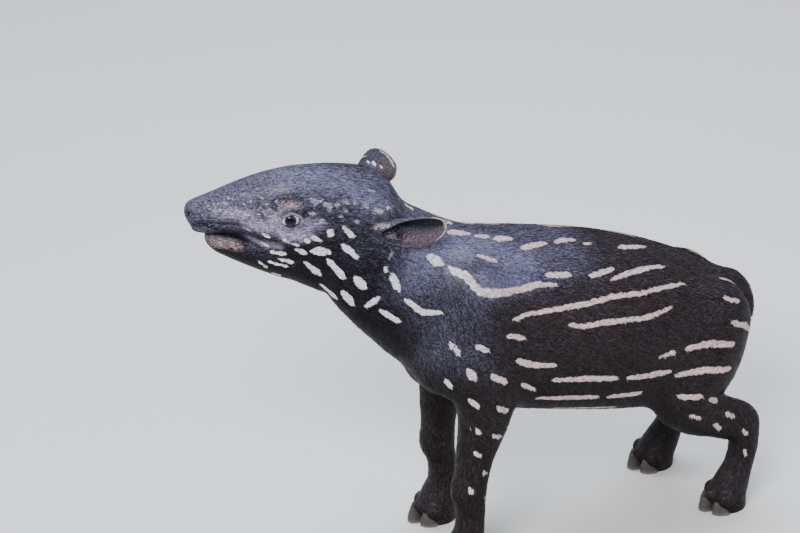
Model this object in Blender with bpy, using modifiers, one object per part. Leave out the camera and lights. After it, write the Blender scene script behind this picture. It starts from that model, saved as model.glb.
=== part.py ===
"""Malayan tapir calf about a month old, standing, as a life-size museum model.

Metres, +Z up. The calf faces -X and its left side is -Y. The flesh is shaped as lofts and
muscle forms, fused into one closed surface, carved in the head, and parted by thin cuts
into head, neck, torso, tail and legs. Ears, eyes and hooves are pieces of their own.
"""

import math

import bmesh
import bpy
import numpy as np
from mathutils import Matrix, Vector

GAP = 0.0003  # between pieces that meet
PLACE = Vector((0.0816, 0.0, 0.0))  # puts the origin under the calf's middle

# Colours, as linear values, and roughness
COAT_DARK = (0.035, 0.030, 0.034, 1.0)
COAT_BROWN = (0.045, 0.028, 0.024, 1.0)
EAR_INSIDE = (0.18, 0.115, 0.11, 1.0)
EYE_DARK = (0.012, 0.016, 0.022, 1.0)
HOOF_HORN = (0.050, 0.042, 0.038, 1.0)
COAT_ROUGHNESS = 0.55
EYE_ROUGHNESS = 0.08
HOOF_ROUGHNESS = 0.45

# Trunk, one row a section from chest to rump: x, top, bottom, half width
TRUNK = (
    (-0.206, 0.398, 0.306, 0.034),
    (-0.192, 0.420, 0.268, 0.058),
    (-0.165, 0.437, 0.232, 0.080),
    (-0.122, 0.442, 0.205, 0.093),
    (-0.070, 0.433, 0.192, 0.100),
    (-0.010, 0.418, 0.177, 0.105),
    (0.050, 0.401, 0.163, 0.107),
    (0.105, 0.382, 0.154, 0.104),
    (0.160, 0.357, 0.153, 0.096),
    (0.205, 0.332, 0.160, 0.084),
    (0.240, 0.307, 0.174, 0.067),
    (0.262, 0.280, 0.198, 0.042),
)
TRUNK_WIDEST = 0.46  # share of the height at which a section is widest
TRUNK_ROUNDNESS = (1.95, 2.25)  # above and below its widest line

# Neck, from inside the trunk to inside the head: x, y, z, half height, half width
NECK = (
    (-0.085, 0.000, 0.332, 0.102, 0.082),
    (-0.140, 0.001, 0.350, 0.100, 0.078),
    (-0.186, 0.005, 0.382, 0.090, 0.068),
    (-0.221, 0.012, 0.412, 0.082, 0.058),
    (-0.249, 0.020, 0.438, 0.073, 0.051),
    (-0.274, 0.028, 0.458, 0.056, 0.041),
)

# Head. Its own frame has its origin on top of the skull between the ear roots, with
# h forward to the snout, w to the calf's left and v up
HEAD_PLACE = Vector((-0.2381, 0.0180, 0.5455))
HEAD_YAW = math.radians(17)  # turned to the calf's right
HEAD_ROLL = math.radians(4)  # its left side tipped down
# Skull, face and upper lip, one row a section: h, top, bottom, half width
SKULL = (
    (-0.040, -0.052, -0.128, 0.036),
    (-0.022, -0.020, -0.136, 0.043),
    (0.000, -0.004, -0.140, 0.0465),
    (0.030, 0.003, -0.140, 0.0475),
    (0.060, 0.0055, -0.136, 0.0475),
    (0.090, 0.0050, -0.124, 0.0455),
    (0.120, 0.0010, -0.106, 0.0400),
    (0.150, -0.0070, -0.0850, 0.0325),
    (0.172, -0.0150, -0.0770, 0.0275),
    (0.190, -0.0225, -0.0730, 0.0240),
    (0.205, -0.0280, -0.0700, 0.0212),
    (0.216, -0.0325, -0.0670, 0.0188),
    (0.2225, -0.0370, -0.0625, 0.0150),
)
SKULL_WIDEST = 0.42
SKULL_ROUNDNESS = (1.85, 2.2)
# Lower jaw: h, top, bottom, half width
JAW = (
    (0.004, -0.085, -0.1660, 0.0320),
    (0.030, -0.085, -0.1740, 0.0370),
    (0.055, -0.085, -0.1720, 0.0385),
    (0.078, -0.085, -0.1610, 0.0380),
    (0.098, -0.085, -0.1500, 0.0360),
    (0.118, -0.083, -0.1425, 0.0335),
    (0.140, -0.080, -0.1325, 0.0290),
    (0.160, -0.077, -0.1225, 0.0250),
    (0.178, -0.074, -0.1125, 0.0215),
    (0.192, -0.0725, -0.1035, 0.0185),
    (0.2010, -0.0725, -0.0925, 0.0130),
)
JAW_WIDEST = 0.55
JAW_ROUNDNESS = (2.4, 2.0)

# Lines carved in each side of the head: points (h, v), then depth and half width
MOUTH = ((0.2200, -0.0705), (0.2024, -0.0722), (0.1800, -0.0760), (0.1530, -0.0822), (0.1440, -0.0865))
MOUTH_CUT = (0.0042, 0.0024)
NOSE_FOLD = ((0.2160, -0.0560), (0.1900, -0.0555), (0.1650, -0.0560), (0.1450, -0.0600))
NOSE_FOLD_CUT = (0.0016, 0.0026)
BROW_FOLD = ((0.1160, -0.0300), (0.1040, -0.0235), (0.0880, -0.0250))
BROW_FOLD_CUT = (0.0010, 0.0026)
JOWL_FOLD = ((0.0050, -0.0900), (0.0080, -0.1150), (0.0230, -0.1420), (0.0420, -0.1600))
JOWL_FOLD_CUT = (0.0010, 0.0080)

EYE_PLACE = (0.1010, -0.0465)  # h and v of the eyeball's middle
EYE_RADIUS = 0.0120
EYE_DEPTH = 0.0345  # how far the eyeball's middle is out from the head's midline
LID_HALF = (0.0116, 0.0102)  # half width and half height of the opening
LID_THICK = 0.0020

NOSTRIL = (0.2215, 0.0078, -0.0480)  # h, w, v of the left nostril's mouth
NOSTRIL_HALF = (0.0090, 0.0026, 0.0048)

# Ears: root (h, w, v), direction, the way the cup opens, length, share of the full width
EAR_LEFT = ((-0.010, 0.0400, -0.0700), (-0.920, 0.290, 0.225), (0.24, 0.96, 0.02), 0.079, 0.84)
EAR_RIGHT = ((0.006, -0.0320, -0.0440), (-0.440, -0.870, 0.110), (0.34, 0.10, -0.94), 0.070, 1.0)
# Ear sections along its length: share, half width, cup depth, half angle of the arc, and how
# far the section leans to the outer margin
EAR_SHAPE = (
    (0.00, 0.0130, 0.0130, 150, 0.0000),
    (0.15, 0.0165, 0.0150, 128, 0.0030),
    (0.32, 0.0205, 0.0150, 104, 0.0062),
    (0.52, 0.0228, 0.0125, 92, 0.0082),
    (0.72, 0.0210, 0.0090, 84, 0.0072),
    (0.87, 0.0160, 0.0055, 80, 0.0040),
    (0.96, 0.0095, 0.0028, 80, 0.0015),
    (1.00, 0.0040, 0.0012, 80, 0.0000),
)
EAR_THICK = 0.0028

# Legs down their middle line: x, y, z, fore-and-aft radius, side radius.
# The rows are for a left leg at FORE_X and HIND_X
FORE_LEG = (
    (-0.010, -0.050, 0.350, 0.046, 0.034),
    (-0.022, -0.058, 0.300, 0.046, 0.036),
    (0.010, -0.064, 0.250, 0.044, 0.034),
    (0.006, -0.066, 0.205, 0.034, 0.029),
    (-0.002, -0.066, 0.165, 0.0265, 0.0235),
    (-0.006, -0.066, 0.135, 0.0235, 0.0215),
    (-0.009, -0.066, 0.112, 0.0245, 0.0220),
    (-0.005, -0.066, 0.085, 0.0200, 0.0185),
    (-0.005, -0.066, 0.055, 0.0205, 0.0200),
    (-0.012, -0.066, 0.034, 0.0240, 0.0238),
    (-0.018, -0.066, 0.014, 0.0268, 0.0270),
    (-0.020, -0.066, -0.012, 0.0275, 0.0280),
)
HIND_LEG = (
    (-0.004, -0.040, 0.266, 0.058, 0.036),
    (-0.008, -0.052, 0.238, 0.066, 0.041),
    (-0.026, -0.062, 0.210, 0.062, 0.040),
    (-0.040, -0.068, 0.182, 0.050, 0.034),
    (-0.026, -0.068, 0.156, 0.039, 0.028),
    (0.008, -0.067, 0.134, 0.0305, 0.0230),
    (0.038, -0.066, 0.115, 0.0280, 0.0205),
    (0.042, -0.066, 0.088, 0.0210, 0.0185),
    (0.034, -0.066, 0.058, 0.0200, 0.0195),
    (0.024, -0.066, 0.036, 0.0235, 0.0230),
    (0.015, -0.066, 0.014, 0.0260, 0.0260),
    (0.013, -0.066, -0.012, 0.0265, 0.0268),
)
# Where each leg stands: x of its top, and how far its foot is set ahead of or behind that
LEGS = {
    "foreleg_left": (FORE_LEG, -0.128, -1, -0.012),
    "foreleg_right": (FORE_LEG, -0.128, 1, 0.022),
    "hindleg_left": (HIND_LEG, 0.190, -1, 0.020),
    "hindleg_right": (HIND_LEG, 0.190, 1, -0.016),
}
STEP_FROM = 0.300  # the height from which a leg swings to its step

# Muscles and bones under the skin: middle, radii, pitch in degrees, and both sides or not
BODY_FORMS = (
    ((-0.122, -0.048, 0.352), (0.058, 0.048, 0.090), -20, True),  # shoulder blade
    ((-0.160, -0.042, 0.296), (0.050, 0.044, 0.054), 20, True),  # point of the shoulder
    ((0.192, -0.042, 0.258), (0.068, 0.048, 0.068), 25, True),  # haunch
    ((0.138, -0.056, 0.210), (0.044, 0.036, 0.054), 35, True),  # thigh's front
    ((-0.158, 0.000, 0.284), (0.040, 0.048, 0.052), 30, False),  # breast
)
HEAD_FORMS = (
    ((0.048, 0.0270, -0.098), (0.050, 0.0215, 0.042), -18, True),  # cheek
    ((0.092, 0.0275, -0.034), (0.030, 0.0160, 0.014), 4, True),  # brow
    ((0.062, 0.0290, -0.062), (0.046, 0.0180, 0.018), 10, True),  # cheek bone
    ((0.190, 0.0120, -0.0640), (0.030, 0.0115, 0.0085), 6, True),  # upper lip
    ((0.212, 0.0000, -0.0500), (0.0145, 0.0185, 0.0175), 20, False),  # nose's end
    ((0.188, 0.0000, -0.0860), (0.0150, 0.0165, 0.0115), 12, False),  # lower lip
    ((-0.010, 0.0300, -0.0560), (0.024, 0.0165, 0.0220), 0, True),  # ear's muscle
)

# Tail: x, y, z, radius
TAIL = (
    (0.222, 0.000, 0.292, 0.0230),
    (0.246, 0.000, 0.288, 0.0200),
    (0.264, 0.000, 0.277, 0.0160),
    (0.275, 0.000, 0.262, 0.0128),
    (0.281, 0.000, 0.246, 0.0102),
    (0.2835, 0.000, 0.232, 0.0078),
    (0.2840, 0.000, 0.224, 0.0052),
)

# Toes: ahead and aside of the foot's middle, the way the hoof points in degrees, size, lift
MAIN_TOES = (
    (0.0175, -0.0182, -24, 0.94, 0.0),
    (0.0255, 0.0000, 0, 1.08, 0.0),
    (0.0175, 0.0182, 24, 0.94, 0.0),
)
OUTER_TOE = (-0.0020, 0.0265, 42, 0.66, 0.0085)  # only on the fore feet
HOOF = (0.0128, 0.0086, 0.0180)  # half length, half width, height

# Where the flesh is parted: point, direction across the cut, and the cut's half sizes
CUTS = (
    ((-0.2600, 0.0260, 0.4450), (-0.905, 0.250, 0.270), (0.110, 0.140)),  # head from neck
    ((-0.1800, 0.0050, 0.3800), (-0.930, 0.050, 0.365), (0.125, 0.175)),  # neck from torso
    ((0.2790, 0.0000, 0.2530), (0.300, 0.000, -0.954), (0.018, 0.018)),  # tail
)
# A leg's cut is a bent sheet: rows of x and how far it dips, columns of (y, z) for a left leg
FORE_CUT = (
    ((-0.215, 0.000), (-0.135, 0.006), (-0.085, 0.018), (-0.045, 0.036)),
    ((-0.018, 0.171), (-0.042, 0.195), (-0.066, 0.219), (-0.088, 0.241), (-0.112, 0.265)),
)
HIND_CUT = (
    ((0.084, 0.110), (0.098, 0.050), (0.116, 0.012), (0.140, 0.000), (0.230, 0.000), (0.305, 0.000)),
    ((-0.018, 0.106), (-0.042, 0.142), (-0.066, 0.178), (-0.090, 0.216), (-0.116, 0.260)),
)

FLESH_VOXEL = 0.0034
FLESH_SMOOTHING = 9
BROAD_SMOOTHING = 70  # more of it where the body is broad
FLESH_TRIANGLES = 8200
THINNING_HOLD = 0.0025  # how much longer the head's short edges are kept than the body's


def clear_scene():
    for obj in list(bpy.data.objects):
        bpy.data.objects.remove(obj, do_unlink=True)


def material(name, colour, roughness):
    made = bpy.data.materials.new(name)
    made.use_nodes = True
    shader = made.node_tree.nodes["Principled BSDF"]
    shader.inputs["Base Color"].default_value = colour
    shader.inputs["Roughness"].default_value = roughness
    made.diffuse_color = colour
    return made


def spread(stations, count):
    """Rows spread evenly along the stations, on smooth curves with no overshoot."""
    rows = np.array(stations, float)
    steps = np.linalg.norm(np.diff(rows[:, :3], axis=0), axis=1)
    at = np.concatenate([[0.0], np.cumsum(steps)])
    wide = steps[:, None]
    slopes = np.diff(rows, axis=0) / wide
    tangents = np.zeros_like(rows)
    same_way = slopes[:-1] * slopes[1:] > 0
    first = 2 * wide[1:] + wide[:-1]
    second = wide[1:] + 2 * wide[:-1]
    with np.errstate(divide="ignore", invalid="ignore"):
        middle = (first + second) / (first / slopes[:-1] + second / slopes[1:])
    tangents[1:-1] = np.where(same_way, middle, 0.0)
    tangents[0], tangents[-1] = slopes[0], slopes[-1]
    where = np.linspace(0.0, at[-1], count)
    k = np.clip(np.searchsorted(at, where, side="right") - 1, 0, len(steps) - 1)
    t = ((where - at[k]) / steps[k])[:, None]
    span = steps[k][:, None]
    return (
        (1 + 2 * t) * (1 - t) ** 2 * rows[k]
        + t * (1 - t) ** 2 * span * tangents[k]
        + t * t * (3 - 2 * t) * rows[k + 1]
        + t * t * (t - 1) * span * tangents[k + 1]
    )


def outline(top, bottom, half_width, widest, roundness, points=36):
    """A section's outline as (across, height) pairs, an egg with its own upper and lower curve."""
    turn = np.linspace(0.0, 2 * math.pi, points, endpoint=False)
    middle = bottom + (top - bottom) * widest
    power = np.where(np.sin(turn) >= 0, 2 / roundness[0], 2 / roundness[1])
    across = half_width * np.sign(np.cos(turn)) * np.abs(np.cos(turn)) ** power
    rise = np.sign(np.sin(turn)) * np.abs(np.sin(turn)) ** power
    height = middle + np.where(rise >= 0, (top - middle) * rise, (middle - bottom) * rise)
    return np.stack([across, height], axis=1)


def new_object(name, mesh):
    obj = bpy.data.objects.new(name, mesh)
    bpy.context.scene.collection.objects.link(obj)
    return obj


def loft(name, rings):
    """A closed surface through rings of points, with a flat cap on each end."""
    count = len(rings[0])
    faces = [tuple(range(count))[::-1]]
    for r in range(len(rings) - 1):
        for i in range(count):
            j = (i + 1) % count
            faces.append((r * count + i, r * count + j, (r + 1) * count + j, (r + 1) * count + i))
    faces.append(tuple(range((len(rings) - 1) * count, len(rings) * count)))
    mesh = bpy.data.meshes.new(name)
    mesh.from_pydata(np.concatenate(rings).tolist(), [], faces)
    form = bmesh.new()
    form.from_mesh(mesh)
    bmesh.ops.recalc_face_normals(form, faces=form.faces)
    form.to_mesh(mesh)
    form.free()
    return new_object(name, mesh)


def tube(name, stations, count=30, points=28):
    """A loft along a line: each row is x, y, z, radius along the body, radius to the side."""
    rows = spread(stations, count)
    middles = rows[:, :3]
    along = np.gradient(middles, axis=0)
    along /= np.linalg.norm(along, axis=1)[:, None]
    turn = np.linspace(0.0, 2 * math.pi, points, endpoint=False)[:, None]
    rings = []
    for middle, way, radii in zip(middles, along, rows[:, 3:]):
        side = np.array((0.0, 1.0, 0.0)) - way[1] * way
        side /= np.linalg.norm(side)
        rings.append(
            middle
            + radii[0] * np.cos(turn) * np.cross(way, side)
            + radii[-1] * np.sin(turn) * side
        )
    return loft(name, rings)


def ellipsoid(name, middle, radii, pitch=0.0):
    bpy.ops.mesh.primitive_uv_sphere_add(segments=28, ring_count=18)
    obj = bpy.context.active_object
    obj.name = name
    turned = Matrix.Translation(middle) @ Matrix.Rotation(math.radians(pitch), 4, "Y")
    obj.data.transform(turned @ Matrix.Diagonal((*radii, 1.0)))
    return obj


def head_matrix():
    """From the head's own h, w, v to the world."""
    forward = Vector((-math.cos(HEAD_YAW), math.sin(HEAD_YAW), 0.0))
    left = Vector((-math.sin(HEAD_YAW), -math.cos(HEAD_YAW), 0.0))
    level = Matrix((forward, left, Vector((0, 0, 1)))).transposed().to_4x4()
    return Matrix.Translation(HEAD_PLACE) @ level @ Matrix.Rotation(-HEAD_ROLL, 4, "X")


def trunk_form():
    rings = []
    for x, top, bottom, half_width in spread(TRUNK, 60):
        flat = outline(top, bottom, half_width, TRUNK_WIDEST, TRUNK_ROUNDNESS)
        rings.append(np.insert(flat, 0, x, axis=1))
    return loft("trunk_form", rings)


def skull_forms():
    """The head's lofts and forms, in the head's own frame."""
    made = []
    parts = ((SKULL, SKULL_WIDEST, SKULL_ROUNDNESS), (JAW, JAW_WIDEST, JAW_ROUNDNESS))
    for stations, widest, roundness in parts:
        rings = []
        for h, top, bottom, half_width in spread(stations, 56):
            flat = outline(top, bottom, half_width, widest, roundness)
            rings.append(np.insert(flat, 0, h, axis=1))
        made.append(loft("skull_form", rings))
    for middle, radii, pitch, both in HEAD_FORMS:
        for side in (1, -1) if both else (1,):
            place = (middle[0], side * middle[1], middle[2])
            made.append(ellipsoid("head_form", place, radii, pitch))
    return made


def leg_rows(rows, top_x, side, step):
    """A leg's rows in the world, with its foot swung by a step."""
    placed = []
    for x, y, z, fore, aside in rows:
        swing = step * min(1.0, max(0.0, (STEP_FROM - z) / STEP_FROM)) ** 1.2
        placed.append((top_x + x + swing, -side * y, z, fore, aside))
    return placed


def fused(name, objects):
    """One object from several overlapping closed ones, left as they lie."""
    form = bmesh.new()
    for obj in objects:
        part = obj.data.copy()
        part.transform(obj.matrix_world)
        form.from_mesh(part)
        bpy.data.meshes.remove(part)
        bpy.data.objects.remove(obj, do_unlink=True)
    mesh = bpy.data.meshes.new(name)
    form.to_mesh(mesh)
    form.free()
    return new_object(name, mesh)


def applied(obj):
    """The object with its modifiers made part of its mesh."""
    graph = bpy.context.evaluated_depsgraph_get()
    mesh = bpy.data.meshes.new_from_object(obj.evaluated_get(graph))
    obj.modifiers.clear()
    old, obj.data = obj.data, mesh
    bpy.data.meshes.remove(old)
    return obj


def flesh(voxel, smoothing, broad_smoothing):
    """Body, head and legs as one closed, smoothed surface."""
    forms = [trunk_form(), tube("neck_form", NECK, 40)]
    forms.append(tube("tail_form", [(*row, row[3]) for row in TAIL], 24, 16))
    for name, (rows, top_x, side, step) in LEGS.items():
        forms.append(tube(name + "_form", leg_rows(rows, top_x, side, step), 60))
    for middle, radii, pitch, both in BODY_FORMS:
        for side in (-1, 1) if both else (-1,):
            place = (middle[0], -side * middle[1], middle[2])
            forms.append(ellipsoid("muscle_form", place, radii, pitch))
    head = skull_forms()
    for obj in head:
        obj.data.transform(head_matrix())
    body = fused("flesh", forms + head)
    remesh = body.modifiers.new("one_skin", "REMESH")
    remesh.mode = "VOXEL"
    remesh.voxel_size = voxel
    applied(body)
    group = body.vertex_groups.new(name="broad")
    to_head = head_matrix().inverted()
    for vertex in body.data.vertices:
        x, _, z = vertex.co
        off_head = min(1.0, max(0.0, (-0.012 - (to_head @ vertex.co).x) / 0.03))
        above_legs = min(1.0, max(0.0, (z - 0.15 - 0.05 * (x < 0)) / 0.06))
        off_tail = min(1.0, max(0.0, (0.262 - x) / 0.02))
        group.add([vertex.index], off_head * above_legs * off_tail, "REPLACE")
    broad = body.modifiers.new("soften_body", "SMOOTH")
    broad.iterations = broad_smoothing
    broad.vertex_group = "broad"
    smooth = body.modifiers.new("soften", "SMOOTH")
    smooth.iterations = smoothing
    applied(body)
    body.vertex_groups.clear()
    return body


def line_distance(flat, line):
    """Distance of each (h, v) point to a line of points, and how far along it, from 0 to 1."""
    line = spread([(*p, 0.0) for p in line], 40)[:, :2]
    best = np.full(len(flat), 1.0)
    place = np.zeros(len(flat))
    for k, (start, end) in enumerate(zip(line[:-1], line[1:])):
        way = end - start
        t = np.clip((flat - start) @ way / (way @ way), 0.0, 1.0)
        gap = np.linalg.norm(flat - start - t[:, None] * way, axis=1)
        nearer = gap < best
        best[nearer] = gap[nearer]
        place[nearer] = (k + t[nearer]) / (len(line) - 1)
    return best, place


def carve_head(body):
    """Presses the mouth, the folds and the nostrils into the head's surface."""
    mesh = body.data
    count = len(mesh.vertices)
    points = np.empty(count * 3)
    normals = np.empty(count * 3)
    mesh.vertices.foreach_get("co", points)
    mesh.vertices.foreach_get("normal", normals)
    points = points.reshape(-1, 3)
    normals = normals.reshape(-1, 3)
    to_head = np.array(head_matrix().inverted())
    local = points @ to_head[:3, :3].T + to_head[:3, 3]
    inward = np.zeros(count)
    near = (local[:, 0] > -0.03) & (local[:, 2] > -0.20)
    flat = local[near][:, [0, 2]]
    sideways = np.abs(local[near][:, 1])
    for line, (depth, half_width) in (
        (MOUTH, MOUTH_CUT),
        (NOSE_FOLD, NOSE_FOLD_CUT),
        (BROW_FOLD, BROW_FOLD_CUT),
        (JOWL_FOLD, JOWL_FOLD_CUT),
    ):
        gap, place = line_distance(flat, line)
        fade = np.clip(place / 0.12, 0.0, 1.0) if line is not MOUTH else 1.0
        fade = fade * np.clip((1.0 - place) / 0.15, 0.0, 1.0)
        inward[near] += depth * np.exp(-((gap / half_width) ** 2)) * fade * (sideways > 0.002)
    mesh.vertices.foreach_set("co", (points - normals * inward[:, None]).ravel())
    mesh.update()


def ear(name, root, direction, opening, length, width, thick):
    """A cupped ear: an open curved sheet in the head's frame, given its thickness."""
    side = 1 if root[1] > 0 else -1
    along = Vector(direction).normalized()
    out = Vector(opening)
    out = (out - along * out.dot(along)).normalized()
    across = along.cross(out)
    rows = spread(EAR_SHAPE, 16)
    arcs = np.linspace(-1.0, 1.0, 13)
    verts = []
    for share, half_width, depth, half_angle, lean in rows:
        middle = Vector(root) + along * (share * length) + across * (side * width * lean)
        for arc in arcs:
            angle = math.radians(half_angle) * arc
            place = across * (width * half_width * math.sin(angle)) - out * (depth * math.cos(angle))
            verts.append(middle + place)
    count = len(arcs)
    faces = [
        (r * count + i, r * count + i + 1, (r + 1) * count + i + 1, (r + 1) * count + i)
        for r in range(len(rows) - 1)
        for i in range(count - 1)
    ]
    mesh = bpy.data.meshes.new(name)
    mesh.from_pydata(verts, [], faces)
    mesh.transform(head_matrix())
    obj = new_object(name, mesh)
    wall = obj.modifiers.new("wall", "SOLIDIFY")
    wall.thickness = thick
    wall.offset = 0.0
    return applied(obj)


def thinned(body, triangles):
    """Fewer triangles, with the head's surface kept finer than the body's."""
    group = body.vertex_groups.new(name="coarse")
    to_head = head_matrix().inverted()
    for vertex in body.data.vertices:
        on_head = (to_head @ vertex.co).x > -0.012 and vertex.co.z > 0.36
        group.add([vertex.index], 0.5 if on_head else 1.0, "REPLACE")
    body.data.calc_loop_triangles()
    thin = body.modifiers.new("thin", "DECIMATE")
    thin.ratio = triangles / len(body.data.loop_triangles)
    thin.vertex_group = "coarse"
    thin.vertex_group_factor = THINNING_HOLD
    applied(body)
    body.vertex_groups.clear()
    return body


def cutter_of(name, objects):
    """Objects put out of the render in a collection that a Boolean reads."""
    held = bpy.data.collections.new(name)
    bpy.context.scene.collection.children.link(held)
    held.hide_render = True
    for obj in objects:
        for home in list(obj.users_collection):
            home.objects.unlink(obj)
        held.objects.link(obj)
        obj.hide_render = True
        obj.display_type = "WIRE"
    return held


def without(obj, cutters, solver="EXACT"):
    """The object with a collection of closed cutters taken away, which are then removed."""
    held = cutter_of("cutters_" + obj.name, cutters)
    cut = obj.modifiers.new("cut", "BOOLEAN")
    cut.operation = "DIFFERENCE"
    cut.operand_type = "COLLECTION"
    cut.collection = held
    cut.solver = solver
    applied(obj)
    for cutter in cutters:
        bpy.data.objects.remove(cutter, do_unlink=True)
    bpy.data.collections.remove(held)
    return obj


def slab(point, direction, half_sizes):
    """A thin plate that parts the flesh at a point."""
    bpy.ops.mesh.primitive_cube_add(size=2.0)
    obj = bpy.context.active_object
    way = Vector(direction).normalized()
    up = Vector((0, 0, 1)) - way * way.z
    up = up.normalized() if up.length > 0.05 else Vector((1, 0, 0))
    across = up.cross(way)
    frame = Matrix((way, across, up)).transposed().to_4x4()
    sizes = Matrix.Diagonal((GAP / 2, half_sizes[0], half_sizes[1], 1.0))
    obj.data.transform(Matrix.Translation(point) @ frame @ sizes)
    form = bmesh.new()
    form.from_mesh(obj.data)
    bmesh.ops.recalc_face_normals(form, faces=form.faces)
    form.to_mesh(obj.data)
    form.free()
    return obj


def sheet(rows, columns, side):
    """A thin bent sheet that parts a leg from the torso."""
    verts = [(x, side * y, z - dip) for x, dip in rows for y, z in columns]
    wide = len(columns)
    faces = [
        (r * wide + i, r * wide + i + 1, (r + 1) * wide + i + 1, (r + 1) * wide + i)
        for r in range(len(rows) - 1)
        for i in range(wide - 1)
    ]
    mesh = bpy.data.meshes.new("sheet")
    mesh.from_pydata(verts, [], faces)
    obj = new_object("sheet", mesh)
    wall = obj.modifiers.new("wall", "SOLIDIFY")
    wall.thickness = GAP
    wall.offset = 0.0
    applied(obj)
    form = bmesh.new()
    form.from_mesh(obj.data)
    bmesh.ops.recalc_face_normals(form, faces=form.faces)
    form.to_mesh(obj.data)
    form.free()
    return obj


def floor_block():
    bpy.ops.mesh.primitive_cube_add(size=1.0)
    obj = bpy.context.active_object
    obj.data.transform(Matrix.Translation((0, 0, -0.05)) @ Matrix.Diagonal((1.2, 0.6, 0.1, 1)))
    return obj


def largest(obj):
    """Keeps an object's largest closed surface."""
    form = bmesh.new()
    form.from_mesh(obj.data)
    unseen = set(form.verts)
    shells = []
    while unseen:
        shell, edge = set(), [unseen.pop()]
        while edge:
            vertex = edge.pop()
            shell.add(vertex)
            for link in vertex.link_edges:
                other = link.other_vert(vertex)
                if other in unseen:
                    unseen.remove(other)
                    edge.append(other)
        shells.append(shell)
    shells.sort(key=len)
    loose = [vertex for shell in shells[:-1] for vertex in shell]
    bmesh.ops.delete(form, geom=loose, context="VERTS")
    form.to_mesh(obj.data)
    form.free()
    return obj


def pieces_of(body):
    """The flesh's separate pieces after the cuts, as objects, the scraps left out."""
    bpy.ops.object.select_all(action="DESELECT")
    bpy.context.view_layer.objects.active = body
    body.select_set(True)
    bpy.ops.object.mode_set(mode="EDIT")
    bpy.ops.mesh.select_all(action="SELECT")
    bpy.ops.mesh.separate(type="LOOSE")
    bpy.ops.object.mode_set(mode="OBJECT")
    found = list(bpy.context.selected_objects)
    kept = [obj for obj in found if len(obj.data.vertices) > 40]
    for obj in set(found) - set(kept):
        bpy.data.objects.remove(obj, do_unlink=True)
    return kept


def middle_of(obj):
    points = np.array([vertex.co for vertex in obj.data.vertices])
    return Vector((points.min(0) + points.max(0)) / 2)


def name_pieces(pieces):
    """Names each piece of flesh by where its middle lies."""
    named = {}
    for obj in pieces:
        place = middle_of(obj)
        side = "left" if place.y < 0 else "right"
        if place.z < 0.18:
            name = ("foreleg_" if place.x < 0.05 else "hindleg_") + side
        elif place.x > 0.25:
            name = "tail"
        elif place.x > -0.10:
            name = "torso"
        elif place.x > -0.26:
            name = "neck"
        else:
            name = "head"
        obj.name = name
        named[name] = obj
    return named


def foot_middle(leg):
    rows, top_x, side, step = LEGS[leg]
    return leg_rows(rows, top_x, side, step)[-2]


def hoof(name, leg, toe, grow=0.0):
    """One hoof: a blunt rounded toe cap with a flat sole, pointing ahead or aside."""
    ahead, aside, turn, size, lift = toe
    x, y, _, _, _ = foot_middle(leg)
    side = 1 if y > 0 else -1
    angle = math.radians(turn) * side
    half_length, half_width, height = (size * value for value in HOOF)
    rings = []
    for share in np.linspace(0.0, 1.0, 5):
        rise = -0.004 + (height + 0.004) * share
        swell = math.cos(share * 0.62 * math.pi / 2) - 0.28 * share
        flat = outline(half_width, -half_width, half_length, 0.5, (2.4, 2.4), 12)
        flat = flat * swell
        flat[:, 0] += 0.45 * half_length * share
        rings.append(np.insert(flat, 2, rise, axis=1))
    obj = loft(name, [np.array(ring) for ring in rings])
    turned = Matrix.Rotation(angle + math.pi, 4, "Z")
    flip = Matrix.Translation((x - ahead, y + side * aside, lift))
    obj.data.transform(flip @ turned @ Matrix.Diagonal((-1, 1, 1, 1)))
    form = bmesh.new()
    form.from_mesh(obj.data)
    bmesh.ops.recalc_face_normals(form, faces=form.faces)
    form.to_mesh(obj.data)
    form.free()
    if grow:
        obj.data.update()
        for vertex in obj.data.vertices:
            vertex.co += vertex.normal * grow
    return obj


def eye_middle(side):
    return head_matrix() @ Vector((EYE_PLACE[0], side * EYE_DEPTH, EYE_PLACE[1]))


def ball(name, middle, radius):
    bpy.ops.mesh.primitive_uv_sphere_add(segments=20, ring_count=12, radius=radius)
    obj = bpy.context.active_object
    obj.name = name
    obj.data.transform(Matrix.Translation(middle))
    return obj


def lid(side, upper):
    """A raised lid, a bent tapering tube over or under the eyeball."""
    turns = np.linspace(0.06, 0.94, 13) * math.pi
    rows = []
    for turn in turns:
        ahead = LID_HALF[0] * math.cos(turn)
        rise = LID_HALF[1] * math.sin(turn) * (1 if upper else -0.86)
        out = math.sqrt(max(1e-8, (EYE_RADIUS * 1.02) ** 2 - ahead**2 - rise**2))
        thick = LID_THICK * (0.55 + 0.45 * math.sin(turn)) * (1.25 if upper else 0.9)
        place = Vector((EYE_PLACE[0] + ahead, side * (EYE_DEPTH + out), EYE_PLACE[1] + rise))
        rows.append((*(head_matrix() @ place), thick))
    curve = bpy.data.curves.new("lid_line", "CURVE")
    curve.dimensions = "3D"
    curve.bevel_depth = 1.0
    curve.bevel_resolution = 1
    curve.use_fill_caps = True
    line = curve.splines.new("POLY")
    line.points.add(len(rows) - 1)
    for point, (x, y, z, thick) in zip(line.points, rows):
        point.co = (x, y, z, 1.0)
        point.radius = thick
    guide = new_object("lid_guide", curve)
    graph = bpy.context.evaluated_depsgraph_get()
    mesh = bpy.data.meshes.new_from_object(guide.evaluated_get(graph))
    bpy.data.objects.remove(guide, do_unlink=True)
    form = bmesh.new()
    form.from_mesh(mesh)
    bmesh.ops.remove_doubles(form, verts=form.verts, dist=0.00001)
    bmesh.ops.recalc_face_normals(form, faces=form.faces)
    form.to_mesh(mesh)
    form.free()
    return new_object("lid", mesh)


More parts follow.
